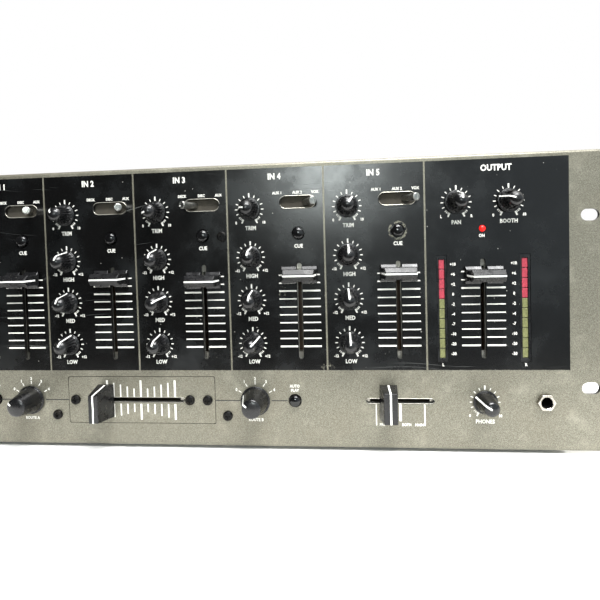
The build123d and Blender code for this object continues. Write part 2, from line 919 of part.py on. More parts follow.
with BuildPart() as board_spacers:
    with BuildSketch(front(panel_sheet)):
        with Locations(*spacers):
            Circle(spacer_radius)
            Circle(screw_hole_radius, mode=Mode.SUBTRACT)
    extrude(amount=-(control_board_depth - panel_sheet))
save(
    [*control_board.solids(), *rear_board.solids(), *board_spacers.solids()],
    "circuit_boards",
)

with BuildPart() as transformer_core:
    core_x = case_sheet + transformer_wall_gap + core[0] / 2 - case_width / 2
    board_back = panel_front + control_board_depth + board_sheet
    core_y = board_back + transformer_board_gap + core[1] / 2
    floor = case_bottom + case_sheet
    window = (winding[0], core[1], winding[2])
    with Locations((core_x, core_y, floor + core[2] / 2)):
        Box(*core)
        Box(*window, mode=Mode.SUBTRACT)
with BuildPart() as transformer_winding:
    with Locations((core_x, core_y, floor + core[2] / 2)):
        Box(*winding)
save([*transformer_core.solids(), *transformer_winding.solids()], "power_transformer")


# ---------------------------------------------------------------- sockets
with BuildPart() as phones_jack:
    half_x, half_y = jack_body[0] / 2, jack_body[1] / 2
    body_back = -panel_sheet - jack_body[2]
    box_between((-half_x, -half_y, body_back), (half_x, half_y, -panel_sheet))
    with BuildSketch(Plane.XY.offset(-panel_sheet)):
        Circle(jack_neck_radius)
    extrude(amount=panel_sheet)
    with BuildSketch(Plane.XY):
        RegularPolygon(jack_nut_radius, 6)
    extrude(amount=jack_nut_height)
    with BuildSketch(Plane.XY.offset(jack_nut_height)):
        Circle(jack_bore_radius)
    extrude(amount=body_back + case_sheet - jack_nut_height, mode=Mode.SUBTRACT)

with BuildPart() as mic_socket:
    with BuildSketch(Plane.XY):
        RectangleRounded(*mic_flange, mic_flange_sheet)
    extrude(amount=mic_flange_sheet)
    with BuildSketch(Plane.XY.offset(mic_flange_sheet)):
        Circle(mic_barrel_radius)
    extrude(amount=-mic_depth - mic_flange_sheet)
    with BuildSketch(Plane.XY.offset(mic_flange_sheet)):
        Circle(mic_mouth_radius)
    extrude(amount=-mic_mouth_depth, mode=Mode.SUBTRACT)
    with BuildSketch(Plane.XY.offset(mic_flange_sheet - mic_mouth_depth)):
        Circle(jack_bore_radius)
    extrude(amount=-mic_bore_depth, mode=Mode.SUBTRACT)
    with BuildSketch(Plane.XY):
        with Locations(mic_screw_offset, tuple(-side for side in mic_screw_offset)):
            Circle(screw_hole_radius)
    extrude(amount=mic_flange_sheet, mode=Mode.SUBTRACT)

with BuildPart() as phono_body:
    half_x, half_y, depth = phono_block[0] / 2, phono_block[1] / 2, phono_block[2]
    box_between((-half_x, -half_y, -case_sheet - depth), (half_x, half_y, -case_sheet))
with BuildPart() as phono_barrel:
    with BuildSketch(Plane.XY.offset(-case_sheet)):
        Circle(phono_radius)
    extrude(amount=case_sheet + phono_length)
    with BuildSketch(Plane.XY.offset(phono_length)):
        Circle(phono_bore_radius)
    extrude(amount=-case_sheet - phono_length, mode=Mode.SUBTRACT)

with BuildPart() as balanced_jack:
    half_x, half_y, depth = balanced_block[0] / 2, balanced_block[1] / 2, balanced_block[2]
    box_between((-half_x, -half_y, -case_sheet - depth), (half_x, half_y, -case_sheet))
    with BuildSketch(Plane.XY.offset(-case_sheet)):
        Circle(jack_neck_radius)
    extrude(amount=case_sheet)
    with BuildSketch(Plane.XY):
        RegularPolygon(jack_nut_radius, 6)
    extrude(amount=jack_nut_height)
    with BuildSketch(Plane.XY.offset(jack_nut_height)):
        Circle(jack_bore_radius)
    extrude(amount=-depth - jack_nut_height, mode=Mode.SUBTRACT)

with BuildPart() as ground_post:
    with BuildSketch(Plane.XY):
        Circle(ground_post_radius)
    extrude(amount=ground_post_length)
    with BuildSketch(Plane.XY):
        Circle(screw_radius)
    extrude(amount=-screw_length)

sockets = placed(phones_jack.part, [on_panel(phones_x, lower_row)])
sockets += placed(mic_socket.part, [on_panel(mic_x, mid_row)])
sockets += placed(phono_body.part, [on_rear(x, phono_row) for x in phono_columns])
barrel_rows = (phono_row - phono_pitch / 2, phono_row + phono_pitch / 2)
sockets += placed(
    phono_barrel.part, [on_rear(x, row) for x in phono_columns for row in barrel_rows]
)
sockets += placed(balanced_jack.part, [on_rear(x, balanced_row) for x in balanced_columns])
sockets += placed(ground_post.part, [on_rear(ground_post_x, ground_post_row)])
save(sockets, "audio_sockets")

with BuildPart() as inlet:
    with BuildSketch(Plane.XY):
        Rectangle(*inlet_flange)
    extrude(amount=inlet_flange_sheet)
    with BuildSketch(Plane.XY):
        Rectangle(*inlet_opening)
    extrude(amount=-inlet_depth)
    with BuildSketch(Plane.XY.offset(inlet_flange_sheet)):
        Rectangle(*inlet_cavity)
    extrude(amount=-inlet_cavity_depth - inlet_flange_sheet, mode=Mode.SUBTRACT)
    with BuildSketch(Plane.XY):
        with Locations((inlet_screw_offset, 0), (-inlet_screw_offset, 0)):
            Circle(screw_hole_radius)
    extrude(amount=inlet_flange_sheet, mode=Mode.SUBTRACT)
with BuildPart() as blades:
    with BuildSketch(Plane.XY.offset(-inlet_cavity_depth)):
        with Locations((-blade_offset, blade_lift), (0, blade_lift), (blade_offset, blade_lift)):
            Rectangle(blade[0], blade[1])
    extrude(amount=blade[2])
with BuildPart() as rocker_frame:
    with BuildSketch(Plane.XY):
        Rectangle(*(side + 2 * rocker_rim for side in rocker_opening))
    extrude(amount=rocker_rim_sheet)
    with BuildSketch(Plane.XY):
        Rectangle(*rocker_opening)
    extrude(amount=-rocker_depth)
    with BuildSketch(Plane.XY.offset(rocker_rim_sheet)):
        Rectangle(*(side - 2 * rocker_wall for side in rocker_opening))
    extrude(amount=-(rocker_depth + rocker_rim_sheet - rocker_wall), mode=Mode.SUBTRACT)
save(
    placed(inlet.part, [on_rear(inlet_x, power_row)])
    + placed(blades.part, [on_rear(inlet_x, power_row)])
    + placed(rocker_frame.part, [on_rear(rocker_x, power_row)]),
    "power_inlet",
)

with BuildPart() as power_rocker:
    # A cylinder about its pivot, cut to two sloping faces that meet over the pivot
    swing_radius = rocker_opening[1] / 2 - rocker_wall - rocker_clearance
    rocker_half = rocker_opening[0] / 2 - rocker_wall - rocker_clearance
    slope = swing_radius * tan(radians(rocker_tilt))
    crown = rocker_rim_sheet + rocker_crown
    with BuildSketch(Plane.YZ):
        Circle(swing_radius)
        with BuildLine():
            Polyline(
                (-swing_radius, -swing_radius),
                (swing_radius, -swing_radius),
                (swing_radius, crown - slope + slope * 2),
                (0, crown),
                (-swing_radius, crown - slope + slope * 2),
                close=True,
            )
        make_face(mode=Mode.INTERSECT)
    extrude(amount=rocker_half, both=True)
tipped = Location((0, 0, 0), (rocker_tilt, 0, 0))
save(placed(power_rocker.part, [on_rear(rocker_x, power_row) * tipped]), "power_rocker")


# ---------------------------------------------------------------- screws and nuts
def screw(length):
    """Round-headed cross-recess screw, head on z = 0."""
    with BuildPart() as made:
        with BuildSketch(Plane.XY):
            Circle(screw_head_radius)
        extrude(amount=screw_head)
        fillet(made.edges().group_by(Axis.Z)[-1], screw_head / 2)
        with BuildSketch(Plane.XY):
            Circle(screw_radius)
        extrude(amount=-length)
        with BuildSketch(Plane.XY.offset(screw_head)):
            Rectangle(recess_width, recess_length)
            Rectangle(recess_length, recess_width)
        extrude(amount=-recess_depth, mode=Mode.SUBTRACT)
    return made.part


with BuildPart() as nut:
    with BuildSketch(Plane.XY.offset(-panel_sheet - case_sheet)):
        RegularPolygon(nut_radius, 6)
        Circle(screw_radius + running_clearance, mode=Mode.SUBTRACT)
    extrude(amount=-nut_height)

front_screw = screw(screw_length)
short_screw = screw(screw_length)
front_places = [*board_screws, *plate_screws, *fader_screws]
screws = placed(front_screw, [on_panel(*place) for place in front_places])
raised_screw = Location((0, 0, mic_flange_sheet))
screws += placed(short_screw, [on_panel(*place) * raised_screw for place in mic_screws])
raised_screw = Location((0, 0, inlet_flange_sheet))
screws += placed(short_screw, [on_rear(*place) * raised_screw for place in inlet_screws])
screws += placed(short_screw, [Location((x, y, case_top)) for x, y in cover_screws])
screws += placed(nut.part, [on_panel(*place) for place in lip_studs])
save(screws, "screws")
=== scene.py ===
# %% [markdown]
# # A five-channel rack mixer
# The mixer arrives as a frame of finished metalwork: panel, case, sockets and the bodies
# that move. Here its surfaces get their looks. Pieces whose outline decides how they
# catch the light (knobs, caps, levers, keys, lamps) are worked out again as smooth
# surfaces. Flat sheet parts keep their own mesh and get a better finish.

# %% Frame
import json
import math

import bmesh
import bpy
import numpy as np
from mathutils import Euler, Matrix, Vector


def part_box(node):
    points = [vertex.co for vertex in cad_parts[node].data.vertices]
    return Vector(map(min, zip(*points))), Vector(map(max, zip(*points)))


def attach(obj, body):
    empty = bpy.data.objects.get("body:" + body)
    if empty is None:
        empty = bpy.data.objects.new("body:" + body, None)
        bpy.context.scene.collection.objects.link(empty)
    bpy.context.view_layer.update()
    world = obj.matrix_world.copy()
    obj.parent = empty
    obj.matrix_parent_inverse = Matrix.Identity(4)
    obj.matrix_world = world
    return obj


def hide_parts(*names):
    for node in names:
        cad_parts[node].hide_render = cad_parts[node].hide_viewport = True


MM = 0.001
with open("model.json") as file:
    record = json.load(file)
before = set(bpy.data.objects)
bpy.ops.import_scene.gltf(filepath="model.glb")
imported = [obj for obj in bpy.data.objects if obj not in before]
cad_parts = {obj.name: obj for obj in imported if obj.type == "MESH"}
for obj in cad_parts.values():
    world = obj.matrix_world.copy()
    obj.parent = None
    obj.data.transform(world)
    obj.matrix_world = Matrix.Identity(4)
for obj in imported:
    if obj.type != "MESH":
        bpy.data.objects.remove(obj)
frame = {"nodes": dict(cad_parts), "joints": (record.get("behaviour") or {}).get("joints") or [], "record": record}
nodes = frame["nodes"]
joints = {joint["child"]: joint for joint in frame["joints"]}
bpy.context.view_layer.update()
panel_low, panel_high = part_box("front_panel")
FACE = panel_low.y
FOOT = panel_low.z
print("panel", [round(side / MM, 1) for side in panel_high - panel_low])

# %% [markdown]
# ## Laying out the panel
# Every control says where it stands: a hinge has a point on its axis, and a sliding
# piece has a box whose middle is its own. Reading those keeps the printing and the new
# pieces in step with the metalwork, whatever its sizes are.


# %% Where the controls stand
def centre(node):
    """(x, z) of a piece on the panel: its hinge's point, or the middle of its box."""
    if "pos_m" in joints.get(node, {}):
        return joints[node]["pos_m"][0], joints[node]["pos_m"][2]
    low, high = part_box(node)
    return (low.x + high.x) / 2, (low.z + high.z) / 2


def middle_of_travel(node):
    """(x, z) of a sliding piece when it is half-way along its travel."""
    joint = joints[node]
    shift = [sum(joint["range_m"]) / 2 * part for part in joint["axis"]]
    x, z = centre(node)
    return x + shift[0], z + shift[2]


def named(ending):
    return sorted(name for name in nodes if name.endswith(ending))


CHANNELS = range(1, 6)
PITCH = centre("ch2_gain_knob")[0] - centre("ch1_gain_knob")[0]
STRIP_LEFT = {n: centre(f"ch{n}_gain_knob")[0] - 14 * MM for n in CHANNELS}
FIELD_LEFT = STRIP_LEFT[1] - PITCH
FIELD_RIGHT = -FIELD_LEFT
MASTER_LEFT = STRIP_LEFT[5] + PITCH
FIELD_LOW = FOOT + 48.6 * MM
FIELD_HIGH = FOOT + 173.9 * MM
print("strips at", [round(x / MM) for x in STRIP_LEFT.values()], "pitch", round(PITCH / MM))

# %% [markdown]
# ## Surfaces from arrays
# A turned or swept shape is a grid of points: one index runs along the profile and one
# around or along the path. Whole arrays make the grid, so there is no loop over points.
# A shape here is a pair: its points, and its faces as rows of point numbers.


# %% Grid helpers
def grid_faces(rows, columns, round_columns):
    """Quads that join each grid point to the next in its row and column; the last
    column joins the first when the grid goes right round."""
    row, column = np.meshgrid(
        np.arange(rows - 1), np.arange(columns if round_columns else columns - 1), indexing="ij"
    )
    after = (column + 1) % columns
    corners = (
        row * columns + column,
        row * columns + after,
        (row + 1) * columns + after,
        (row + 1) * columns + column,
    )
    return np.stack(corners, -1).reshape(-1, 4)


def lathe(profile, segments=96, ripple=None):
    """A closed surface of revolution about z. profile is rows of (radius, height) that
    start and end on the axis; point = (r cos a, r sin a, h). ripple(angle, height)
    changes the radius, as flutes do."""
    profile = np.asarray(profile, float)
    angle = np.linspace(0, 2 * np.pi, segments, endpoint=False)
    radius = np.repeat(profile[:, :1], segments, 1)
    height = np.repeat(profile[:, 1:], segments, 1)
    if ripple is not None:
        radius = radius + ripple(angle[None, :], height) * (radius > 0)
    points = np.stack((radius * np.cos(angle), radius * np.sin(angle), height), -1)
    return points.reshape(-1, 3), grid_faces(len(profile), segments, True)


def arc(centre_point, radius, start, end, count=8):
    """Points on a circle's arc, angles in degrees."""
    turn = np.radians(np.linspace(start, end, count))
    return np.stack(
        (centre_point[0] + radius * np.cos(turn), centre_point[1] + radius * np.sin(turn)), -1
    )


def prism(outline, low, high, taper=None):
    """An outline of (a, b) rows carried along x from low to high, closed at both ends.
    taper(b) is how far in from each end the surface stands at that height."""
    outline = np.asarray(outline, float)
    count = len(outline)
    inset = taper(outline[:, 1]) if taper else np.zeros(count)
    ends = [np.column_stack((low + inset, outline)), np.column_stack((high - inset, outline))]
    side = grid_faces(2, count, True)
    caps = [list(range(count)), list(range(2 * count - 1, count - 1, -1))]
    return np.vstack(ends), [*side.tolist(), *caps]


def bars(starts, ends, widths, thickness):
    """Flat bars on the z = 0 plane, one from each start to its end: a corner is the end
    plus or minus half a width across the bar."""
    starts, ends = np.asarray(starts, float), np.asarray(ends, float)
    along = ends - starts
    across = np.stack((-along[:, 1], along[:, 0]), -1)
    across *= (np.asarray(widths, float) / 2 / np.hypot(*along.T))[:, None]
    flat = np.stack((starts - across, ends - across, ends + across, starts + across), 1)
    low = np.concatenate((flat, np.zeros((*flat.shape[:2], 1))), -1)
    high = low + (0, 0, thickness)
    points = np.concatenate((low, high), 1).reshape(-1, 3)
    block = np.array(
        [(3, 2, 1, 0), (4, 5, 6, 7), (0, 1, 5, 4), (1, 2, 6, 5), (2, 3, 7, 6), (3, 0, 4, 7)]
    )
    return points, (block[None] + 8 * np.arange(len(flat))[:, None, None]).reshape(-1, 4)


def ribbon(path, normals, width, across, thickness=0.05 * MM):
    """A thin strip of one width laid along a path: each row of the grid is the strip's
    rectangular section, half a width to each side and lifted along the normal."""
    path, normals = np.asarray(path, float), np.asarray(normals, float)
    side = np.asarray(across, float) * width / 2
    rows = np.stack(
        (
            path - side - normals * thickness,
            path + side - normals * thickness,
            path + side + normals * thickness,
            path - side + normals * thickness,
        ),
        1,
    )
    faces = grid_faces(len(path), 4, True).tolist()
    last = 4 * (len(path) - 1)
    faces += [[0, 1, 2, 3], [last + 3, last + 2, last + 1, last]]
    return rows.reshape(-1, 3), faces


# %% [markdown]
# Shapes made flat, with z as their height above the panel, are stood on it by one map:
# (x, y, z) goes to (x0 + x, face - z, z0 + y), turned first by the angle the control
# rests at. The mesh is then in its final place, and its object stays at the origin.


# %% Placing shapes and making pieces
def turned(shape, degrees):
    """A shape turned clockwise, as the operator sees it, about its own z axis."""
    points, faces = shape
    a = math.radians(-degrees)
    turn = np.array(((math.cos(a), -math.sin(a), 0), (math.sin(a), math.cos(a), 0), (0, 0, 1)))
    return points @ turn.T, faces


def leaned(shape, degrees):
    """A shape leaned to the right about its own y axis."""
    points, faces = shape
    a = math.radians(degrees)
    turn = np.array(((math.cos(a), 0, math.sin(a)), (0, 1, 0), (-math.sin(a), 0, math.cos(a))))
    return points @ turn.T, faces


def moved(shape, x=0.0, y=0.0, z=0.0):
    return shape[0] + (x, y, z), shape[1]


def on_face(shape, x, z, face=FACE, rear=False):
    """A shape stood on the panel, or on the back of the case, where x runs to the left."""
    points, faces = shape
    if rear:
        return points @ np.array(((-1, 0, 0), (0, 0, 1), (0, 1, 0))) + (x, face, z), faces
    return points @ np.array(((1, 0, 0), (0, 0, 1), (0, -1, 0))) + (x, face, z), faces


def joined(*shapes):
    """Several shapes as one, with the material number of each of its faces."""
    points, faces, numbers, offset = [], [], [], 0
    for item in shapes:
        shape, number = item if isinstance(item[1], int) else (item, 0)
        points.append(shape[0])
        faces += [[index + offset for index in face] for face in np_rows(shape[1])]
        numbers += [number] * len(shape[1])
        offset += len(shape[0])
    return np.vstack(points), faces, numbers


def np_rows(faces):
    return faces.tolist() if isinstance(faces, np.ndarray) else faces


made = []


def piece(name, shapes, materials, body, replaces=(), sharp=35, bevel=0.0):
    """Makes one finished object of some shapes: doubles at the poles are merged, faces
    point outwards, edges sharper than an angle stay crisp, and it rides on its body."""
    points, faces, numbers = joined(*shapes)
    mesh = bpy.data.meshes.new(name)
    mesh.from_pydata(points.tolist(), [], faces)
    for material in materials:
        mesh.materials.append(material)
    mesh.polygons.foreach_set("material_index", numbers)
    tidy_mesh(mesh)
    mesh.set_sharp_from_angle(angle=math.radians(sharp))
    obj = bpy.data.objects.new(name, mesh)
    bpy.context.scene.collection.objects.link(obj)
    if bevel:
        edge = obj.modifiers.new("softened edges", "BEVEL")
        edge.width = bevel
        edge.segments = 3
        edge.limit_method = "ANGLE"
        edge.angle_limit = math.radians(25)
        edge.harden_normals = True
    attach(obj, body)
    if replaces:
        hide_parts(*replaces)
    made.append(name)
    return obj


def tidy_mesh(mesh):
    """Merges the points that meet at poles, drops faces with no area and turns every
    shell outwards."""
    work = bmesh.new()
    work.from_mesh(mesh)
    bmesh.ops.remove_doubles(work, verts=work.verts, dist=1e-7)
    bmesh.ops.dissolve_degenerate(work, dist=1e-8, edges=work.edges)
    bmesh.ops.recalc_face_normals(work, faces=work.faces)
    work.to_mesh(mesh)
    work.free()
    mesh.polygons.foreach_set("use_smooth", [True] * len(mesh.polygons))


# %% [markdown]
# ## Camera
# The mixer is seen from close by, a little right of its middle and just above the
# channel faders. So near a lens, tall controls lean away from the point opposite it,
# which is why the camera's distance matters as much as its direction.

# %% Camera
CAMERA_PLACE = (84.8 * MM, -306.9 * MM, 130.4 * MM)
CAMERA_TURN = (88.212, 1.568, 5.2)
LENS = 26.604
SENSOR = 36.0
SHIFT = (0.0105, -0.0745)

camera_data = bpy.data.cameras.new("camera")
camera_data.sensor_width = SENSOR
camera_data.lens = LENS
camera_data.shift_x, camera_data.shift_y = SHIFT
camera_data.clip_start = 0.01
camera = bpy.data.objects.new("camera", camera_data)
camera.location = CAMERA_PLACE
camera.rotation_euler = Euler([math.radians(a) for a in CAMERA_TURN], "XYZ")
bpy.context.scene.collection.objects.link(camera)
bpy.context.scene.camera = camera
print("lens", round(camera_data.lens, 1), "mm")

# %% [markdown]
# ## Node groups that several finishes share
# Worn paint, dust and scratches turn up on the panel, the case and the plastic parts.
# Each is built once as a group with named sockets, and each material sets its strength.


# %% Node helpers
def new_group(name, inputs, outputs):
    """A shader node group with float inputs (name: default) and typed outputs."""
    group = bpy.data.node_groups.new(name, "ShaderNodeTree")
    group.interface.new_socket("Vector", in_out="INPUT", socket_type="NodeSocketVector")
    for label, value in inputs.items():
        kind = "NodeSocketColor" if isinstance(value, tuple) else "NodeSocketFloat"
        group.interface.new_socket(label, in_out="INPUT", socket_type=kind).default_value = value
    for label, kind in outputs.items():
        group.interface.new_socket(label, in_out="OUTPUT", socket_type=kind)
    return group, group.nodes.new("NodeGroupInput"), group.nodes.new("NodeGroupOutput")


def node(tree, kind, inputs=None, **settings):
    """Adds one node; inputs are values or the sockets to link from."""
    made_node = tree.nodes.new(kind)
    for key, value in settings.items():
        setattr(made_node, key, value)
    for key, value in (inputs or {}).items():
        if isinstance(value, bpy.types.NodeSocket):
            tree.links.new(value, made_node.inputs[key])
        else:
            made_node.inputs[key].default_value = value
    return made_node


def maths(tree, operation, *values):
    return node(tree, "ShaderNodeMath", dict(enumerate(values)), operation=operation).outputs[0]


def ramp(tree, value, low, high):
    """0 below low, 1 above high and smooth between them."""
    return node(
        tree,
        "ShaderNodeMapRange",
        {"Value": value, "From Min": low, "From Max": high},
        interpolation_type="SMOOTHSTEP",
    ).outputs["Result"]


def blend(tree, factor, first, second):
    """Mixes two colours."""
    mix = node(tree, "ShaderNodeMix", data_type="RGBA")
    for socket, value in ((0, factor), (6, first), (7, second)):
        if isinstance(value, bpy.types.NodeSocket):
            tree.links.new(value, mix.inputs[socket])
        else:
            mix.inputs[socket].default_value = value
    return mix.outputs[2]


def noise(tree, vector, scale, detail=4.0, roughness=0.5, stretch=None):
    if stretch:
        vector = node(tree, "ShaderNodeMapping", {"Vector": vector, **stretch}).outputs[0]
    return node(
        tree,
        "ShaderNodeTexNoise",
        {"Vector": vector, "Scale": scale, "Detail": detail, "Roughness": roughness},
    ).outputs["Fac"]


# %% Scratches group
def scratch_group():
    """Fine scratches: noise stretched a hundred times along one direction is thin
    streaks, and a narrow band of its values is a scratch. Two directions are added, and
    a broad noise keeps most of the surface clean."""
    group, entry, leave = new_group(
        "fine scratches", {"Amount": 1.0, "Scale": 1.0}, {"Mask": "NodeSocketFloat"}
    )
    place = node(group, "ShaderNodeVectorMath", {0: entry.outputs["Vector"]}, operation="SCALE")
    group.links.new(entry.outputs["Scale"], place.inputs["Scale"])
    total = None
    for angle, seed, length in ((0.35, 3.0, 6.0), (-0.9, 11.0, 9.0), (1.35, 23.0, 7.0)):
        bent = noise(group, place.outputs[0], 9.0, 1.0)
        shift = node(group, "ShaderNodeCombineXYZ", {"Z": maths(group, "MULTIPLY", bent, 0.03)})
        where = node(
            group,
            "ShaderNodeVectorMath",
            {0: place.outputs[0], 1: shift.outputs[0]},
            operation="ADD",
        )
        streaks = noise(
            group,
            where.outputs[0],
            1.0,
            2.0,
            stretch={
                "Rotation": (0, angle, 0),
                "Location": (seed, seed, seed),
                "Scale": (length, 1, 900.0),
            },
        )
        line = ramp(group, streaks, 0.69, 0.73)
        total = line if total is None else maths(group, "MAXIMUM", total, line)
    patches = ramp(group, noise(group, place.outputs[0], 14.0, 2.0), 0.48, 0.62)
    scratches = maths(group, "MULTIPLY", total, patches)
    scratches = maths(group, "MULTIPLY", scratches, entry.outputs["Amount"])
    group.links.new(scratches, leave.inputs["Mask"])
    return group


# %% Dust group
def dust_group():
    """Dust and grime: sparse round specks from a cell pattern, over a soft film that
    gathers in cloudy patches."""
    group, entry, leave = new_group(
        "dust and grime",
        {"Specks": 1.0, "Film": 1.0},
        {"Specks": "NodeSocketFloat", "Film": "NodeSocketFloat"},
    )
    cells = node(
        group,
        "ShaderNodeTexVoronoi",
        {"Vector": entry.outputs["Vector"], "Scale": 420.0, "Randomness": 1.0},
    )
    chance = node(group, "ShaderNodeSeparateColor", {"Color": cells.outputs["Color"]})
    chosen = ramp(group, chance.outputs["Red"], 0.955, 0.96)
    spot = ramp(group, cells.outputs["Distance"], 0.16, 0.05)
    specks = maths(group, "MULTIPLY", chosen, spot)
    specks = maths(group, "MULTIPLY", specks, entry.outputs["Specks"])
    cloud = noise(group, entry.outputs["Vector"], 34.0, 6.0, 0.6)
    film = maths(group, "MULTIPLY", ramp(group, cloud, 0.42, 0.75), entry.outputs["Film"])
    group.links.new(specks, leave.inputs["Specks"])
    group.links.new(film, leave.inputs["Film"])
    return group


SCRATCHES = scratch_group()
DUST = dust_group()


# %% Starting a material
def start_material(name, roughness=0.5, **constants):
    """A material with its Principled BSDF, its Object coordinates and its constants."""
    material = bpy.data.materials.new(name)
    material.use_nodes = True
    tree = material.node_tree
    shader = tree.nodes["Principled BSDF"]
    shader.inputs["Roughness"].default_value = roughness
    for label, value in constants.items():
        shader.inputs[label.replace("_", " ")].default_value = value
    place = node(tree, "ShaderNodeTexCoord").outputs["Object"]
    return material, tree, shader, place


def linear(red, green, blue):
    """A colour given as 0 to 255 screen values, made linear for the shader."""
    value = np.array((red, green, blue)) / 255
    value = np.where(value <= 0.04045, value / 12.92, ((value + 0.055) / 1.055) ** 2.4)
    return (*value.tolist(), 1.0)


# Group nodes need their tree before their sockets exist
def node_group(tree, group, **inputs):
    made_node = tree.nodes.new("ShaderNodeGroup")
    made_node.node_tree = group
    for label, value in inputs.items():
        if isinstance(value, bpy.types.NodeSocket):
            tree.links.new(value, made_node.inputs[label])
        else:
            made_node.inputs[label].default_value = value
    return made_node


def bump(tree, shader, height, distance, strength=1.0):
    raised = node(
        tree,
        "ShaderNodeBump",
        {"Height": height, "Distance": distance, "Strength": strength},
    )
    tree.links.new(raised.outputs[0], shader.inputs["Normal"])


# %% [markdown]
# ## Panel paint
# The steel is sprayed silver all over, and the black field is printed over it, with thin
# lines left bare between the channel strips. The pattern is worked out from the place of
# each point: inside the field's four edges, and not within half a millimetre of a line.
# A line stands at every multiple of the strip pitch, which a ping-pong function finds.


# %% Panel paint
SILVER = linear(152, 149, 134)
SILVER_LIGHT = linear(190, 187, 170)
SILVER_DARK = linear(98, 95, 83)
BLACK = linear(9, 9, 9)
BLACK_BLUE = linear(20, 22, 23)


def inside(tree, value, low, high, soft):
    """1 between low and high, with edges of a given softness."""
    rise = ramp(tree, value, low - soft, low + soft)
    fall = ramp(tree, value, high + soft, high - soft)
    return maths(tree, "MULTIPLY", rise, fall)


def field_group():
    """The black field: a rectangle minus the strip lines, its edges nibbled by noise."""
    group, entry, leave = new_group("black field", {"Chips": 1.0}, {"Mask": "NodeSocketFloat"})
    place = entry.outputs["Vector"]
    axes = node(group, "ShaderNodeSeparateXYZ", {"Vector": place})
    x, y, z = axes.outputs
    soft = 0.06 * MM
    wobble = maths(group, "SUBTRACT", noise(group, place, 900.0, 3.0), 0.5)
    wobble = maths(group, "MULTIPLY", wobble, 0.35 * MM)
    wobble = maths(group, "MULTIPLY", wobble, entry.outputs["Chips"])
    edge_z = maths(group, "ADD", z, wobble)
    field = maths(
        group,
        "MULTIPLY",
        inside(group, x, FIELD_LEFT, FIELD_RIGHT, soft),
        inside(group, edge_z, FIELD_LOW, FIELD_HIGH, soft),
    )
    from_left = maths(group, "ADD", x, -FIELD_LEFT)
    to_line = maths(group, "PINGPONG", from_left, PITCH / 2)
    ragged = maths(group, "ADD", to_line, maths(group, "MULTIPLY", wobble, 0.3))
    line = ramp(group, ragged, 0.56 * MM, 0.44 * MM)
    last_line = MASTER_LEFT + PITCH / 4
    line = maths(group, "MULTIPLY", line, ramp(group, x, last_line, last_line - MM))
    front = ramp(group, y, FACE + 0.4 * MM, FACE + 0.2 * MM)
    field = maths(group, "MULTIPLY", field, maths(group, "SUBTRACT", 1.0, line))
    group.links.new(maths(group, "MULTIPLY", field, front), leave.inputs["Mask"])
    return group


FIELD = field_group()


def hole_wall_shade_group():
    """Painted shade in the holes and slots: their cut edges get no paint but a near-black
    colour that stands for the shadow in them. These are the faces that don't look forwards,
    within the sheet's thickness and inside the panel's outline."""
    group, entry, leave = new_group("hole walls", {}, {"Mask": "NodeSocketFloat"})
    normal = node(group, "ShaderNodeNewGeometry").outputs["Normal"]
    forward = node(group, "ShaderNodeSeparateXYZ", {"Vector": normal}).outputs["Y"]
    sideways = ramp(group, maths(group, "ABSOLUTE", forward), 0.75, 0.6)
    x, y, z = node(group, "ShaderNodeSeparateXYZ", {"Vector": entry.outputs["Vector"]}).outputs
    mask = maths(group, "MULTIPLY", sideways, inside(group, y, FACE - MM, FACE + 2.2 * MM, 0.1 * MM))
    for value, low, high in (
        (x, panel_low.x + 0.3 * MM, panel_high.x - 0.3 * MM),
        (z, panel_low.z + 0.3 * MM, panel_high.z - 0.3 * MM),
    ):
        mask = maths(group, "MULTIPLY", mask, inside(group, value, low, high, 0.1 * MM))
    group.links.new(mask, leave.inputs["Mask"])
    return group


HOLE_WALL_SHADE = hole_wall_shade_group()


def worn_patches(tree, place, spots):
    """Patches where the paint is rubbed away: a soft disc or ring at each place, broken
    up by noise."""
    axes = node(tree, "ShaderNodeSeparateXYZ", {"Vector": place})
    grain = noise(tree, place, 700.0, 5.0, 0.7)
    total = None
    for x, z, inner, outer, share in spots:
        dx = maths(tree, "SUBTRACT", axes.outputs["X"], x)
        dz = maths(tree, "SUBTRACT", axes.outputs["Z"], z)
        squares = [maths(tree, "MULTIPLY", offset, offset) for offset in (dx, dz)]
        away = maths(tree, "SQRT", maths(tree, "ADD", *squares))
        ring = inside(tree, away, inner, outer, (outer - inner) * 0.25)
        worn = ramp(tree, maths(tree, "ADD", grain, maths(tree, "MULTIPLY", ring, share)), 0.98, 1.04)
        worn = maths(tree, "MULTIPLY", worn, ring)
        total = worn if total is None else maths(tree, "MAXIMUM", total, worn)
    return total


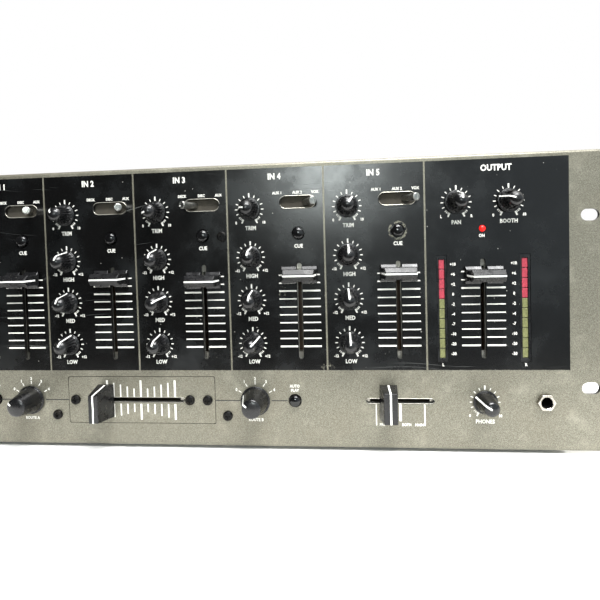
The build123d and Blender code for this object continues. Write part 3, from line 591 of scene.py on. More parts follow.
def panel_paint():
    material, tree, shader, place = start_material("panel_paint")
    field = node_group(tree, FIELD, Vector=place, Chips=1.0).outputs["Mask"]
    scratches = node_group(tree, SCRATCHES, Vector=place, Amount=1.0, Scale=1.0).outputs["Mask"]
    dust = node_group(tree, DUST, Vector=place, Specks=1.0, Film=1.0)
    key_x, key_z = centre("ch5_cue_button")
    fader_x = centre("ch4_fader")[0]
    worn = worn_patches(
        tree,
        place,
        [
            (key_x, key_z, 4.0 * MM, 6.0 * MM, 0.50),
            (fader_x - 11 * MM, FOOT + 98 * MM, 0.0, 4.0 * MM, 0.40),
            (fader_x + 16 * MM, FIELD_LOW + 0.5 * MM, 0.0, 5.0 * MM, 0.44),
        ],
    )
    field = maths(tree, "MULTIPLY", field, maths(tree, "SUBTRACT", 1.0, worn))
    flake = noise(tree, place, 2600.0, 2.0, 0.8)
    blotch = noise(tree, place, 60.0, 5.0, 0.65)
    silver = blend(tree, ramp(tree, flake, 0.35, 0.7), SILVER_DARK, SILVER)
    silver = blend(tree, maths(tree, "MULTIPLY", ramp(tree, blotch, 0.5, 0.8), 0.35), silver, SILVER_LIGHT)
    grime = maths(tree, "MULTIPLY", dust.outputs["Film"], 0.25)
    silver = blend(tree, grime, silver, linear(120, 112, 96))
    black = blend(tree, dust.outputs["Film"], BLACK, BLACK_BLUE)
    black = blend(tree, maths(tree, "MULTIPLY", scratches, 0.5), black, linear(120, 122, 120))
    black = blend(tree, maths(tree, "MULTIPLY", dust.outputs["Specks"], 0.9), black, linear(190, 188, 180))
    painted = blend(tree, field, silver, black)
    # painted shade: faces inside the holes and slots are coloured near black, for the shadow there
    wall_shade = node_group(tree, HOLE_WALL_SHADE, Vector=place).outputs["Mask"]
    tree.links.new(blend(tree, wall_shade, painted, linear(20, 18, 16)), shader.inputs["Base Color"])
    gloss = maths(tree, "ADD", 0.22, maths(tree, "MULTIPLY", dust.outputs["Film"], 0.16))
    rough = node(
        tree, "ShaderNodeMix", {0: field, 2: 0.46, 3: gloss}, data_type="FLOAT"
    ).outputs[0]
    tree.links.new(rough, shader.inputs["Roughness"])
    bare = maths(tree, "SUBTRACT", 1.0, maths(tree, "MAXIMUM", field, wall_shade))
    tree.links.new(maths(tree, "MULTIPLY", bare, 0.45), shader.inputs["Metallic"])
    texture = noise(tree, place, 1500.0, 3.0, 0.6)
    height = maths(tree, "ADD", texture, maths(tree, "MULTIPLY", field, 0.5))
    height = maths(tree, "SUBTRACT", height, maths(tree, "MULTIPLY", scratches, 0.5))
    bump(tree, shader, height, 0.02 * MM, 0.6)
    return material


PANEL = panel_paint()
for name in ("front_panel", "crossfader_plate"):
    nodes[name].data.materials.clear()
    nodes[name].data.materials.append(PANEL)
print("panel paint on front_panel and crossfader_plate")

# %% [markdown]
# ## Moulded plastic and other plain finishes
# Knobs, caps and keys are black plastic of different gloss. Moulded parts are never one
# even colour: skin oil polishes some places, dust settles in others and the mould leaves
# a fine grain. One function makes them all, with its own gloss, grain and dust.


# %% Plastics, rubber and metals
def plastic(name, colour, roughness, grain=0.3, dusty=0.3, **constants):
    material, tree, shader, place = start_material(name, roughness, **constants)
    cloud = ramp(tree, noise(tree, place, 180.0, 4.0, 0.6), 0.35, 0.7)
    dust = node_group(tree, DUST, Vector=place, Specks=dusty, Film=dusty)
    lighter = tuple(min(1.0, c * 1.9 + 0.004) for c in colour[:3]) + (1.0,)
    base = blend(tree, maths(tree, "MULTIPLY", cloud, 0.5), colour, lighter)
    base = blend(tree, dust.outputs["Specks"], base, linear(150, 146, 136))
    tree.links.new(base, shader.inputs["Base Color"])
    rough = maths(tree, "ADD", roughness - 0.06, maths(tree, "MULTIPLY", cloud, 0.14))
    tree.links.new(rough, shader.inputs["Roughness"])
    bump(tree, shader, noise(tree, place, 1800.0, 2.0, 0.6), 0.02 * MM, grain)
    return material


def bare_metal(name, colour, roughness, along="X", dirt=0.3):
    """Metal with a brushed grain that runs along one axis, and dirt in patches."""
    material, tree, shader, place = start_material(name, roughness, Metallic=1.0)
    stretch = {axis: 60.0 if axis == along else 1800.0 for axis in "XYZ"}
    lines = noise(tree, place, 1.0, 3.0, 0.6, stretch={"Scale": tuple(stretch.values())})
    patch = ramp(tree, noise(tree, place, 220.0, 4.0), 0.45, 0.75)
    darker = tuple(c * 0.55 for c in colour[:3]) + (1.0,)
    base = blend(tree, ramp(tree, lines, 0.3, 0.75), darker, colour)
    base = blend(tree, maths(tree, "MULTIPLY", patch, dirt), base, linear(70, 62, 50))
    tree.links.new(base, shader.inputs["Base Color"])
    spread = maths(tree, "MULTIPLY", maths(tree, "ADD", lines, patch), 0.15)
    tree.links.new(maths(tree, "ADD", roughness - 0.12, spread), shader.inputs["Roughness"])
    bump(tree, shader, lines, 0.02 * MM, 0.4)
    return material


def ink(name, colour, worn=0.25):
    """Screen-printed ink: matt, a little uneven, rubbed thin in small patches."""
    material, tree, shader, place = start_material(name, 0.6)
    patch = ramp(tree, noise(tree, place, 500.0, 5.0, 0.7), 0.5, 0.8)
    thin = tuple(c * 0.55 for c in colour[:3]) + (1.0,)
    base = blend(tree, maths(tree, "MULTIPLY", patch, worn), colour, thin)
    tree.links.new(base, shader.inputs["Base Color"])
    tree.links.new(maths(tree, "ADD", 0.5, maths(tree, "MULTIPLY", patch, 0.2)), shader.inputs["Roughness"])
    return material


KNOB_BLACK = plastic("knob_plastic", linear(16, 16, 17), 0.26, 0.3, 0.5)
CAP_BLACK = plastic("cap_plastic", linear(18, 18, 19), 0.3, 0.3, 0.4)
KEY_BLACK = plastic("key_plastic", linear(10, 10, 11), 0.16, 0.1, 0.5)
SOCKET_BLACK = plastic("socket_plastic", linear(20, 20, 21), 0.42, 0.4, 0.3)
RUBBER = plastic("foot_rubber", linear(22, 22, 22), 0.8, 1.0, 0.6)
DUSTY_SHELL = plastic("control_shell", linear(60, 56, 49), 0.75, 0.8, 1.0)
BOARD = plastic("board_laminate", linear(66, 48, 30), 0.5, 0.2, 0.3)
PLATED = bare_metal("plated_steel", linear(190, 186, 176), 0.34, "Z", 0.4)
NICKEL = bare_metal("nickel", linear(205, 200, 190), 0.24, "Y", 0.15)
LEVER_METAL = bare_metal("lever_metal", linear(196, 196, 190), 0.34, "Y", 0.25)
BLACK_STEEL = bare_metal("black_screw", linear(46, 46, 46), 0.42, "X", 0.3)
IRON = bare_metal("transformer_iron", linear(96, 92, 86), 0.5, "Z", 0.5)
WHITE_INK = ink("white_ink", linear(238, 236, 228))
BLACK_INK = ink("black_ink", linear(34, 34, 33))
POINTER_WHITE = ink("pointer_white", linear(246, 246, 240), 0.1)
print(len(bpy.data.materials), "materials")

# %% [markdown]
# ## Case, boards and the plain metal parts
# These keep the mesh they came with. The case is sprayed black with a fine orange-peel
# texture, with fine scratches and specks of dust on it.


# %% Case paint
def case_paint():
    material, tree, shader, place = start_material("case_paint", 0.5)
    scratches = node_group(tree, SCRATCHES, Vector=place, Amount=0.8, Scale=0.7).outputs["Mask"]
    dust = node_group(tree, DUST, Vector=place, Specks=0.8, Film=0.8)
    peel = noise(tree, place, 1100.0, 2.0, 0.5)
    base = blend(tree, dust.outputs["Film"], linear(27, 27, 28), linear(44, 44, 44))
    base = blend(tree, maths(tree, "MULTIPLY", scratches, 0.6), base, linear(118, 116, 110))
    base = blend(tree, dust.outputs["Specks"], base, linear(140, 137, 128))
    tree.links.new(base, shader.inputs["Base Color"])
    rough = maths(tree, "ADD", 0.4, maths(tree, "MULTIPLY", dust.outputs["Film"], 0.2))
    tree.links.new(rough, shader.inputs["Roughness"])
    bump(tree, shader, peel, 0.06 * MM, 0.6)
    return material


def finish_node(name, material):
    nodes[name].data.materials.clear()
    nodes[name].data.materials.append(material)


CASE = case_paint()
for name, material in {
    "rear_housing": CASE,
    "top_cover": CASE,
    "feet": RUBBER,
    "fader_tracks": PLATED,
    "control_bodies": DUSTY_SHELL,
    "circuit_boards": BOARD,
    "power_transformer": IRON,
    "power_inlet": SOCKET_BLACK,
    "power_rocker": KEY_BLACK,
    "screws": BLACK_STEEL,
}.items():
    finish_node(name, material)
print("finished the plain parts")

# %% [markdown]
# ## Knobs
# A channel knob is a thin skirt, a fluted cone and a smooth dome, in one moulding. Its
# outline is a profile turned about the shaft. The flutes are a ripple of the radius,
# twenty round, that fades to nothing towards the dome and the skirt, so a finger finds
# grip on the flank only. The white pointer is a strip laid along the same profile.

# %% Knob surfaces
KNOB_SEGMENTS = 160
FLUTES = 20
SHAFT_RADIUS = 3.0
SHAFT_END = -13.5
FLUTE_DEPTH = 0.85 * MM
FULL_TURN, ROUTE_TURN = 150, 60


def knob_profile(skirt, top, height, dome=4.0, skirt_low=1.0, skirt_high=2.0):
    """(radius, height) rows from the shaft's end over the skirt and cone to the dome's
    middle. The dome is an elliptic arc, and every corner has a small arc of its own."""
    rim = 0.4
    cone = skirt - 0.95
    shoulder = height - dome
    rows = [
        [(0, SHAFT_END), (SHAFT_RADIUS, SHAFT_END), (SHAFT_RADIUS, skirt_low), (skirt - rim, skirt_low)],
        arc((skirt - rim, skirt_low + rim), rim, -90, 0, 4),
        arc((skirt - rim, skirt_high - rim), rim, 0, 90, 4),
        [(cone + 0.25, skirt_high), (cone, skirt_high + 0.3)],
        np.column_stack(
            (np.linspace(cone, top, 14), np.linspace(skirt_high + 0.3, shoulder, 14))
        )[1:],
    ]
    turn = np.radians(np.linspace(0, 90, 12))[1:]
    rows.append(np.column_stack((top * np.cos(turn), shoulder + dome * np.sin(turn))))
    profile = np.vstack(rows) * MM
    profile[-1, 0] = 0.0
    return profile


def flutes(depth, low, high, count=FLUTES):
    """A ripple that is deepest half-way up the flank: depth times a smooth hump of the
    height, times a rounded wave of the angle."""

    def ripple(angle, height):
        share = np.clip((height - low) / (high - low), 0, 1)
        hump = np.sin(np.pi * share) ** 0.5
        wave = (0.5 - 0.5 * np.cos(count * angle)) ** 0.7
        return -depth * hump * wave

    return ripple


def profile_strip(profile, start, end, width, lift=0.02 * MM):
    """A pointer: the stretch of a profile between two radii, as a strip on the side of
    the knob that points up the panel."""
    outside = profile[profile[:, 1] > 1.5 * MM]
    radii = outside[:, 0]
    chosen = outside[(radii >= start) & (radii <= end)][::-1]
    slope = np.gradient(chosen, axis=0)
    normal = np.column_stack((slope[:, 1], -slope[:, 0]))
    normal /= np.hypot(*normal.T)[:, None]
    normal *= np.sign(normal.sum(1) + 1e-9)[:, None]
    zero = np.zeros(len(chosen))
    path = np.column_stack((zero, chosen[:, 0], chosen[:, 1]))
    normals = np.column_stack((zero, normal[:, 0], normal[:, 1]))
    return ribbon(path + normals * lift, normals, width, (1, 0, 0), 0.07 * MM)


REST_TURN = {
    name: (ROUTE_TURN if "assign" in name else FULL_TURN) - joint["range_deg"][1]
    for name, joint in joints.items()
    if name.endswith("knob")
}


def knob_piece(name, size, fluted, pointer):
    profile = knob_profile(*size)
    ripple = flutes(FLUTE_DEPTH, 2.4 * MM, (size[2] - 3.4) * MM) if fluted else None
    body = turned(lathe(profile, KNOB_SEGMENTS, ripple), REST_TURN[name])
    strip = turned(profile_strip(profile, *pointer), REST_TURN[name])
    x, z = centre(name)
    shapes = [(on_face(body, x, z), 0), (on_face(strip, x, z), 1)]
    new_name = name.replace("knob", "turned_knob")
    piece(new_name, shapes, [KNOB_BLACK, POINTER_WHITE], name, [name])


for name in named("knob"):
    if "assign" in name:
        knob_piece(name, (9.3, 5.8, 16.5, 1.6), False, (2.6 * MM, 8.2 * MM, 1.0 * MM))
    elif "level" in name:
        knob_piece(name, (7.15, 4.5, 14.5, 2.6), False, (0.3 * MM, 7.0 * MM, 1.1 * MM))
    else:
        knob_piece(name, (6.85, 4.4, 14.2), True, (1.0 * MM, 6.6 * MM, 0.95 * MM))
print(len(named("knob")), "knobs")

# %% [markdown]
# ## Fader caps
# A cap is a prism across the travel: a broad foot, hollow flanks up to a brow, and from
# there a slope to the ridge, which is the facet that catches the light from above. Here
# the section lies in (travel, height), and the ends are drawn in by an amount that grows
# with height. The white line is a strip that follows the ridge and comes down both ends.

# %% Cap surfaces
CAP_FOOT = 1.5


def ridge_section(width, height, ledge=(3.4, 3.3), brow=3.6, brow_drop=2.6, ridge=1.1):
    """The closed section: foot, hollow flank as a quadratic curve, the slope from brow
    to ridge, and the ridge."""
    t = np.linspace(0, 1, 9)[:, None]
    top = height - brow_drop
    low, middle, high = ledge, (ledge[0] - 0.7, (ledge[1] + top) / 2), (brow, top)
    low, middle, high = (np.array(point)[None] for point in (low, middle, high))
    flank = low * (1 - t) ** 2 + 2 * middle * t * (1 - t) + high * t**2
    right = np.vstack(((width / 2, CAP_FOOT), flank, (ridge, height)))
    return np.vstack((right, right[::-1] * (-1, 1))) * MM


def block_section(width, height, top):
    """The closed section of a flat-topped cap, a little hollow across its top."""
    t = np.linspace(-1, 1, 9)
    crown = np.column_stack((-t * (top / 2 - 0.4), height - 0.3 * (1 - t**2)))
    corners = [(width / 2, CAP_FOOT), (top / 2, height - 0.5)]
    mirrored = [(-a, b) for a, b in reversed(corners)]
    return np.vstack((corners, crown, mirrored)) * MM


def leaning_ends(length, top_length, height):
    rise = (length - top_length) / 2 / (height - CAP_FOOT)
    return lambda level: (level - CAP_FOOT * MM) * rise


def line_over(length, top_length, height, low, width=1.0 * MM, dip=0.0):
    """The line: up one end, round the corner, along the top and down the other end."""
    inset = leaning_ends(length, top_length, height)
    end_low = -length / 2 * MM + inset(low * MM)
    end_high = -top_length / 2 * MM
    top = height * MM
    rows = [
        (end_low, low * MM),
        (end_high - 0.1 * MM, top - 0.45 * MM),
        (end_high + 0.12 * MM, top - 0.12 * MM),
        (end_high + 0.5 * MM, top),
        (0, top - dip),
    ]
    left = np.array(rows)
    path = np.vstack((left, left[:-1][::-1] * (-1, 1)))
    slope = np.gradient(path, axis=0)
    normal = np.column_stack((-slope[:, 1], slope[:, 0])) / np.hypot(*slope.T)[:, None]
    zero = np.zeros(len(path))
    points = np.column_stack((path[:, 0], zero, path[:, 1]))
    normals = np.column_stack((normal[:, 0], zero, normal[:, 1]))
    return ribbon(points + normals * 0.03 * MM, normals, width, (0, 1, 0), 0.06 * MM)


def lever_shapes():
    """The flat steel lever and the carriage that it rises from, inside the track."""
    lever = prism(np.array([(-2, -7), (2, -7), (2, 5.4), (-2, 5.4)]) * MM, -0.6 * MM, 0.6 * MM)
    outline = np.array([(-4.5, -11.4), (4.5, -11.4), (4.5, -7), (-4.5, -7)]) * MM
    return lever, prism(outline, -3.7 * MM, 3.7 * MM)


def ledges(width, ends, half, ledge=(3.4, 3.3), notch=1.65):
    """The two ledges of a fader cap, each in two stretches with the lever's notch
    between. The notched end is square, so its own lean is taken off again."""
    shapes = []
    for side in (-1, 1):
        rows = [(ledge[0], CAP_FOOT), (width / 2, CAP_FOOT), (width / 2, 2.0), ledge]
        outline = np.array(rows) * MM
        points, faces = prism(outline, notch * MM - ends(outline[:, 1]), half, ends)
        shapes += [(points * (end, side, 1), faces) for end in (-1, 1)]
    return shapes


def cap_piece(name, section, length, top_length, height, line, turn=0, width=0.0):
    half = length / 2 * MM
    ends = leaning_ends(length, top_length, height)
    body = [prism(section, -half, half, ends)]
    if width:
        body += ledges(width, ends, half)
    x, z = centre(name)
    lever, carriage = lever_shapes()

    def stand(shape):
        return on_face(turned(shape, turn), x, z)

    shapes = [stand(shape) for shape in body]
    piece(f"{name}_cap", shapes, [CAP_BLACK], name, [name], 30, bevel=0.25 * MM)
    piece(f"{name}_line", [stand(line)], [POINTER_WHITE], name)
    piece(f"{name}_lever", [stand(lever), stand(carriage)], [PLATED], name, bevel=0.15 * MM)


for name in named("_fader"):
    if name != "cue_mix_fader":
        line = line_over(22.0, 18.0, 12.4, 4.2)
        cap_piece(name, ridge_section(6.8, 12.4), 22.0, 18.0, 12.4, line, width=10.4)
line = line_over(21.0, 16.8, 18.0, 3.0, 1.0 * MM, dip=0.3 * MM)
cap_piece("crossfader", block_section(10.5, 18.0, 6.0), 21.0, 16.8, 18.0, line, 90)
line = line_over(21.0, 18.1, 14.0, 2.2, 1.1 * MM, dip=0.3 * MM)
cap_piece("cue_mix_fader", block_section(10.7, 14.0, 8.1), 21.0, 18.1, 14.0, line, 90)
print("fader caps", len([name for name in made if name.endswith("_cap")]))

# %% [markdown]
# ## Selector levers and cue keys
# Both are turned parts. The lever is a slim rod that swells towards a flat tip with a
# rounded rim, on a cross barrel that it swings about. The key is a polished button with
# a full dome, a flange behind the panel that stops it, and a stem down to its switch.

# %% Levers and keys
PIVOT_DEPTH = (joints["ch1_selector_lever"]["pos_m"][1] - FACE) / MM
LEVER_REACH = 23.26
TILT = 25.5
SELECTOR_ROW = joints["ch1_selector_lever"]["pos_m"][2]


def lever_rod():
    rim = 0.5
    tip = 2.35
    rows = [
        [(0, 0), (1.75, 0)],
        np.column_stack((np.linspace(1.75, 1.95, 6), np.linspace(1, LEVER_REACH - 9, 6))),
        np.column_stack((np.linspace(2.0, tip, 8), np.linspace(LEVER_REACH - 8.4, LEVER_REACH - rim, 8))),
        arc((tip - rim, LEVER_REACH - rim), rim, 0, 90, 6),
        [(1.3, LEVER_REACH), (1.1, LEVER_REACH - 0.25), (0, LEVER_REACH - 0.25)],
    ]
    return lathe(np.vstack(rows) * MM, 48)


def lever_barrel():
    """A short bar across the rod: a profile turned about z and laid along y."""
    rows = [(0, -3.5), (2.7, -3.5), (3.0, -3.2), (3.0, 3.2), (2.7, 3.5), (0, 3.5)]
    points, faces = lathe(np.array(rows) * MM, 40)
    return points[:, [0, 2, 1]], faces


for name in named("_selector_lever"):
    x, z = centre(name)
    lean = -TILT if joints[name]["range_deg"][1] > 0 else TILT
    shapes = [
        on_face(moved(leaned(shape, lean), z=-PIVOT_DEPTH * MM), x, z)
        for shape in (lever_rod(), lever_barrel())
    ]
    piece(f"{name}_rod", shapes, [LEVER_METAL], name, [name], 40)


def felt_lips():
    """Two strips of felt behind a slot, which close round the rod and keep dust out."""
    reach, outer, gap = 13.5 * MM, 5.2 * MM, 0.06 * MM
    high, low = -2.15 * MM, -2.75 * MM
    rows = [(gap, low), (outer, low), (outer, high), (gap, high)]
    upper, faces = prism(np.array(rows), -reach, reach)
    return [(upper, faces), (upper * (1, -1, 1), faces)]


FELT = plastic("dusty_felt", linear(62, 58, 50), 0.95, 1.0, 1.0)
felts = [
    on_face(shape, centre(f"ch{n}_selector_lever")[0], SELECTOR_ROW)
    for n in CHANNELS
    for shape in felt_lips()
]
piece("selector_felt_strips", felts, [FELT], "chassis")


def key_shape():
    rim = 1.3
    turn = np.radians(np.linspace(0, 90, 14))
    dome = np.column_stack((3.6 * np.cos(turn), 3.0 - 1.9 + 1.9 * np.sin(turn)))
    rows = [
        [(0, -10.5), (1.5, -10.5), (1.5, -3.3), (4.9, -3.3), (4.9, -2.3), (3.6, -2.3)],
        dome,
    ]
    profile = np.vstack(rows) * MM
    profile[-1, 0] = 0.0
    return lathe(profile, 64)


for name in named("_button"):
    x, z = centre(name)
    piece(f"{name}_dome", [on_face(key_shape(), x, z)], [KEY_BLACK], name, [name])
print("levers and keys", len([name for name in made if name.endswith(("_rod", "_dome"))]))

# %% [markdown]
# ## Printing: ticks and lines
# The white print is a very thin layer that stands on the paint. Each tick is a flat bar
# from an inner to an outer radius, and all the ticks of a ring are worked out at once
# from an array of angles. Fader scales and slot marks are bars too.

# %% Ticks and lines
INK = 0.04 * MM
TICK_TURNS = np.array([23, 46, 69, 92, 114])
END_TURNS = np.array([131, 138, 145])
RING_KNOBS = [name for name in named("knob") if "assign" not in name]


def ring_ticks(turns, inner, outer, width):
    """Bars along the radius at each turn, in degrees clockwise from straight up."""
    turn = np.radians(np.atleast_1d(turns))
    ray = np.stack((np.sin(turn), np.cos(turn)), -1)
    return bars(ray * inner * MM, ray * outer * MM, np.full(len(turn), width * MM), INK)


def tick_ring():
    sides = np.concatenate((TICK_TURNS, -TICK_TURNS))
    crowded = np.concatenate((END_TURNS, -END_TURNS))
    return [
        ring_ticks(sides, 7.3, 8.9, 0.55),
        ring_ticks(0, 7.2, 9.8, 0.9),
        ring_ticks(crowded, 7.5, 8.7, 0.45),
        ring_ticks((-151, 151), 7.5, 10.0, 0.9),
    ]


ticks = []
for name in RING_KNOBS:
    ticks += [on_face(shape, *centre(name)) for shape in tick_ring()]
for name in named("knob"):
    if "assign" in name:
        marks = ring_ticks((-60, -30, 0, 30, 60), 10.1, 12.2, 0.5)
        ticks.append(on_face(marks, *centre(name)))
piece("printed_tick_rings", ticks, [WHITE_INK], "chassis", sharp=60)

FADER_MIDDLE = middle_of_travel("master_fader")[1]
SCALE_PITCH = 4.92 * MM
lines = []
for name in named("_fader"):
    if name == "cue_mix_fader":
        continue
    levels = np.arange(10)
    heights = levels * SCALE_PITCH - 21.95 * MM
    widths = np.where((levels == 0) | (levels == 7), 1.0, 0.72) * MM
    for side in (-1, 1):
        starts = np.column_stack((np.full(10, side * 1.9 * MM), heights))
        ends = np.column_stack((np.full(10, side * 12.7 * MM), heights))
        lines.append(on_face(bars(starts, ends, widths, INK), centre(name)[0], FADER_MIDDLE))

CROSS_X, LOWER_ROW = middle_of_travel("crossfader")
CROSS_LENGTHS = np.array([5.7, 7.0, 8.3, 9.4, 11.0])
upper = np.concatenate((CROSS_LENGTHS[::-1], [11.0], CROSS_LENGTHS))
cross_x = (np.arange(11) - 5) * 4.5 * MM
cross_widths = np.where(np.isin(np.arange(11), (0, 5, 10)), 1.25, 0.85) * MM
for sign, begin, shorter in ((1, 1.6, 1.0), (-1, 2.6, 0.93)):
    starts = np.column_stack((cross_x, np.full(11, sign * begin * MM)))
    ends = starts + np.column_stack((np.zeros(11), sign * upper * shorter * MM))
    lines.append(on_face(bars(starts, ends, cross_widths, INK), CROSS_X, LOWER_ROW))

CUE_X = middle_of_travel("cue_mix_fader")[0]
starts = np.array([(-14.5, -1.5), (14.5, -1.5), (0, -1.5)]) * MM
ends = np.array([(-14.5, -15.1), (14.5, -15.1), (0, -12.3)]) * MM
lines.append(on_face(bars(starts, ends, np.array((0.8, 0.8, 1.5)) * MM, INK), CUE_X, LOWER_ROW))
piece("printed_scales", lines, [WHITE_INK], "chassis", sharp=60)

# %% Dark printed line on the silver
gaps = [(-98.0, -84.6), (-64.6, -48.8), (48.8, 64.6), (84.6, 94.6)]
starts = np.array([(a, -0.1) for a, b in gaps]) * MM
ends = np.array([(b, -0.1) for a, b in gaps]) * MM
route = on_face(bars(starts, ends, np.full(len(gaps), 0.6 * MM), INK), CROSS_X, LOWER_ROW)
piece("printed_route_line", [route], [BLACK_INK], "chassis", sharp=60)
print("ticks on", len(RING_KNOBS), "knobs")

# %% [markdown]
# ## Printing: legends
# Legends are plain function words and dial numbers. A text object is turned into a mesh
# first and only then placed, so every legend ends up as faces in one mesh that stands on
# the panel like the ticks do. A little outline offset gives the bold, narrow letters.

# %% Legends
CAP_SHARE = 0.73
NARROW = 0.86
BOLDER = 0.05
words = []


def word(text, x, height, cap_height):
    """Asks for a legend with its middle on x and its capitals' middle on height."""
    words.append((text, x, height, cap_height))


def letter_shape(text, cap_height):
    """The text as a flat shape in the z = 0 plane, middled on its capitals' height:
    capitals are CAP_SHARE of the letter size, and the letters are drawn in to NARROW."""
    curve = bpy.data.curves.new("legend", "FONT")
    curve.body = text
    curve.align_x = "CENTER"
    curve.size = cap_height / CAP_SHARE
    curve.offset = cap_height * BOLDER
    curve.resolution_u = 2
    curve.extrude = INK / 2
    curve.space_character = 1.04
    holder = bpy.data.objects.new("legend", curve)
    bpy.context.scene.collection.objects.link(holder)
    bpy.context.view_layer.update()
    evaluated = holder.evaluated_get(bpy.context.evaluated_depsgraph_get())
    mesh = bpy.data.meshes.new_from_object(evaluated)
    points = np.zeros(len(mesh.vertices) * 3)
    mesh.vertices.foreach_get("co", points)
    points = points.reshape(-1, 3) * (NARROW, 1, 1) + (0, -cap_height / 2, INK / 2)
    faces = [list(polygon.vertices) for polygon in mesh.polygons]
    bpy.data.objects.remove(holder)
    bpy.data.curves.remove(curve)
    bpy.data.meshes.remove(mesh)
    return points, faces


def up(height):
    return FOOT + height * MM


TITLE_ROW, TOGGLE_LABEL_ROW = up(168.8), up(158.5)
for n in CHANNELS:
    left = STRIP_LEFT[n]
    word(f"IN {n}", left + PITCH / 2, TITLE_ROW, 3.7 * MM)
    sources = ("DECK", "DISC", "AUX") if n < 4 else ("AUX 1", "AUX 2", "VOX")
    for offset, text in zip((-12.4, 0.0, 10.8), sources):
        word(text, centre(f"ch{n}_cue_button")[0] + offset * MM, TOGGLE_LABEL_ROW, 1.7 * MM)
    word("CUE", centre(f"ch{n}_cue_button")[0], up(125.7), 2.3 * MM)
    for band, text in {"gain": "TRIM", "treble": "HIGH", "mid": "MED", "bass": "LOW"}.items():
        x, z = centre(f"ch{n}_{band}_knob")
        word(text, x + 0.6 * MM, z - 11.7 * MM, 2.5 * MM)
        ends = ("0", "10") if band == "gain" else ("-12", "+12")
        for side, label in zip((-8.4, 8.9), ends):
            word(label, x + side * MM, z - 8.4 * MM, 1.7 * MM)

word("OUTPUT", MASTER_LEFT + 41.3 * MM, TITLE_ROW, 3.7 * MM)
word("VOICE", FIELD_LEFT + PITCH / 2, TITLE_ROW, 3.7 * MM)
for name, text, ends in (
    ("balance_knob", "PAN", ("L", "R")),
    ("booth_knob", "BOOTH", ("0", "10")),
    ("mic_level_knob", "TRIM", ("0", "10")),
    ("cue_level_knob", "PHONES", ("0", "10")),
):
    x, z = centre(name)
    word(text, x, z - 11.9 * MM, 2.4 * MM)
    for side, label in zip((-8.8, 8.8), ends):
        word(label, x + side * MM, z - 8.4 * MM, 1.7 * MM)

MASTER_X = centre("master_fader")[0]
METER_X = [MASTER_X - 23.9 * MM, MASTER_X + 23.9 * MM]
METER_NUMBERS = ("-30", "-20", "-10", "-7", "-4", "-2", "0", "+2", "+6", "+10")
SEGMENT = 5.97 * MM
for level, text in enumerate(METER_NUMBERS):
    row = FADER_MIDDLE + (level - 4.5) * SEGMENT
    word(text, METER_X[0] + 6.4 * MM, row, 1.8 * MM)
    word(text, METER_X[1] - 6.4 * MM, row, 1.8 * MM)
word("L", METER_X[0], up(51.9), 1.8 * MM)
word("R", METER_X[1], up(51.9), 1.8 * MM)
word("ON", MASTER_X - 0.5 * MM, up(129.0), 1.8 * MM)
for name, text in (("assign_a_knob", "ROUTE A"), ("assign_b_knob", "ROUTE B")):
    x, z = centre(name)
    word(text, x, z - 12.1 * MM, 1.9 * MM)
    for turn, label in zip((-60, -30, 0, 30, 60), "01234"):
        a = math.radians(turn)
        word(label, x + 13.8 * MM * math.sin(a), z + 13.8 * MM * math.cos(a), 1.9 * MM)
for name in ("start_a_button", "start_b_button"):
    x, z = centre(name)
    word("AUTO", x, z + 9.2 * MM, 1.8 * MM)
    word("PLAY", x, z + 6.5 * MM, 1.8 * MM)
for offset, text in zip((-11.0, 3.6, 11.2), ("PRE", "BOTH", "MAIN")):
    word(text, CUE_X + offset * MM, LOWER_ROW - 14.4 * MM, 1.7 * MM)

letters = [on_face(letter_shape(text, tall), x, height) for text, x, height, tall in words]
piece("printed_legends", letters, [WHITE_INK], "chassis", sharp=60)
print(len(words), "legends")

# %% [markdown]
# ## Level meters and the power lamp
# Each meter is a dark channel behind a window, with ten coloured lenses in a row. They
# are unlit, so the colour comes from the plastic itself, and a bevel gives each lens
# its own edge light. The lamp is lit, a little, from inside.


# %% Meter lenses
def lens(name, colour, glow=0.0):
    material, tree, shader, place = start_material(name, 0.42)
    grain = ramp(tree, noise(tree, place, 900.0, 4.0, 0.7), 0.3, 0.75)
    dim = tuple(c * 0.62 for c in colour[:3]) + (1.0,)
    base = blend(tree, grain, dim, colour)
    tree.links.new(base, shader.inputs["Base Color"])
    if glow:
        tree.links.new(base, shader.inputs["Emission Color"])
        shader.inputs["Emission Strength"].default_value = glow
    bump(tree, shader, grain, 0.03 * MM, 0.5)
    return material


RED_LENS = lens("red_lens", linear(184, 64, 80))
GREEN_LENS = lens("green_lens", linear(128, 130, 84))
LAMP_RED = lens("lamp_red", linear(232, 24, 16), 1.2)
METER_BLACK = plastic("meter_lens", linear(14, 14, 15), 0.3, 0.2, 0.3)


def block(low, high):
    """A box from one corner to another, as a prism across x."""
    (x0, y0, z0), (x1, y1, z1) = low, high
    return prism([(y0, z0), (y1, z0), (y1, z1), (y0, z1)], x0, x1)


def meter_body():
    """The channel behind the window: a back block with two side rails and two ends."""
    w, h = 2.9 * MM, 32.0 * MM
    return [
        block((-3.9 * MM, -h - MM, -16 * MM), (3.9 * MM, h + MM, -2.3 * MM)),
        block((-w, -h, -2.3 * MM), (-1.75 * MM, h, -0.25 * MM)),
        block((1.75 * MM, -h, -2.3 * MM), (w, h, -0.25 * MM)),
        block((-1.75 * MM, 29.9 * MM, -2.3 * MM), (1.75 * MM, h, -0.25 * MM)),
        block((-1.75 * MM, -h, -2.3 * MM), (1.75 * MM, -29.9 * MM, -0.25 * MM)),
    ]


def lens_bar(level):
    middle = (level - 4.5) * SEGMENT
    half = (SEGMENT - 0.45 * MM) / 2
    return block((-1.6 * MM, middle - half, -2.25 * MM), (1.6 * MM, middle + half, -0.7 * MM))


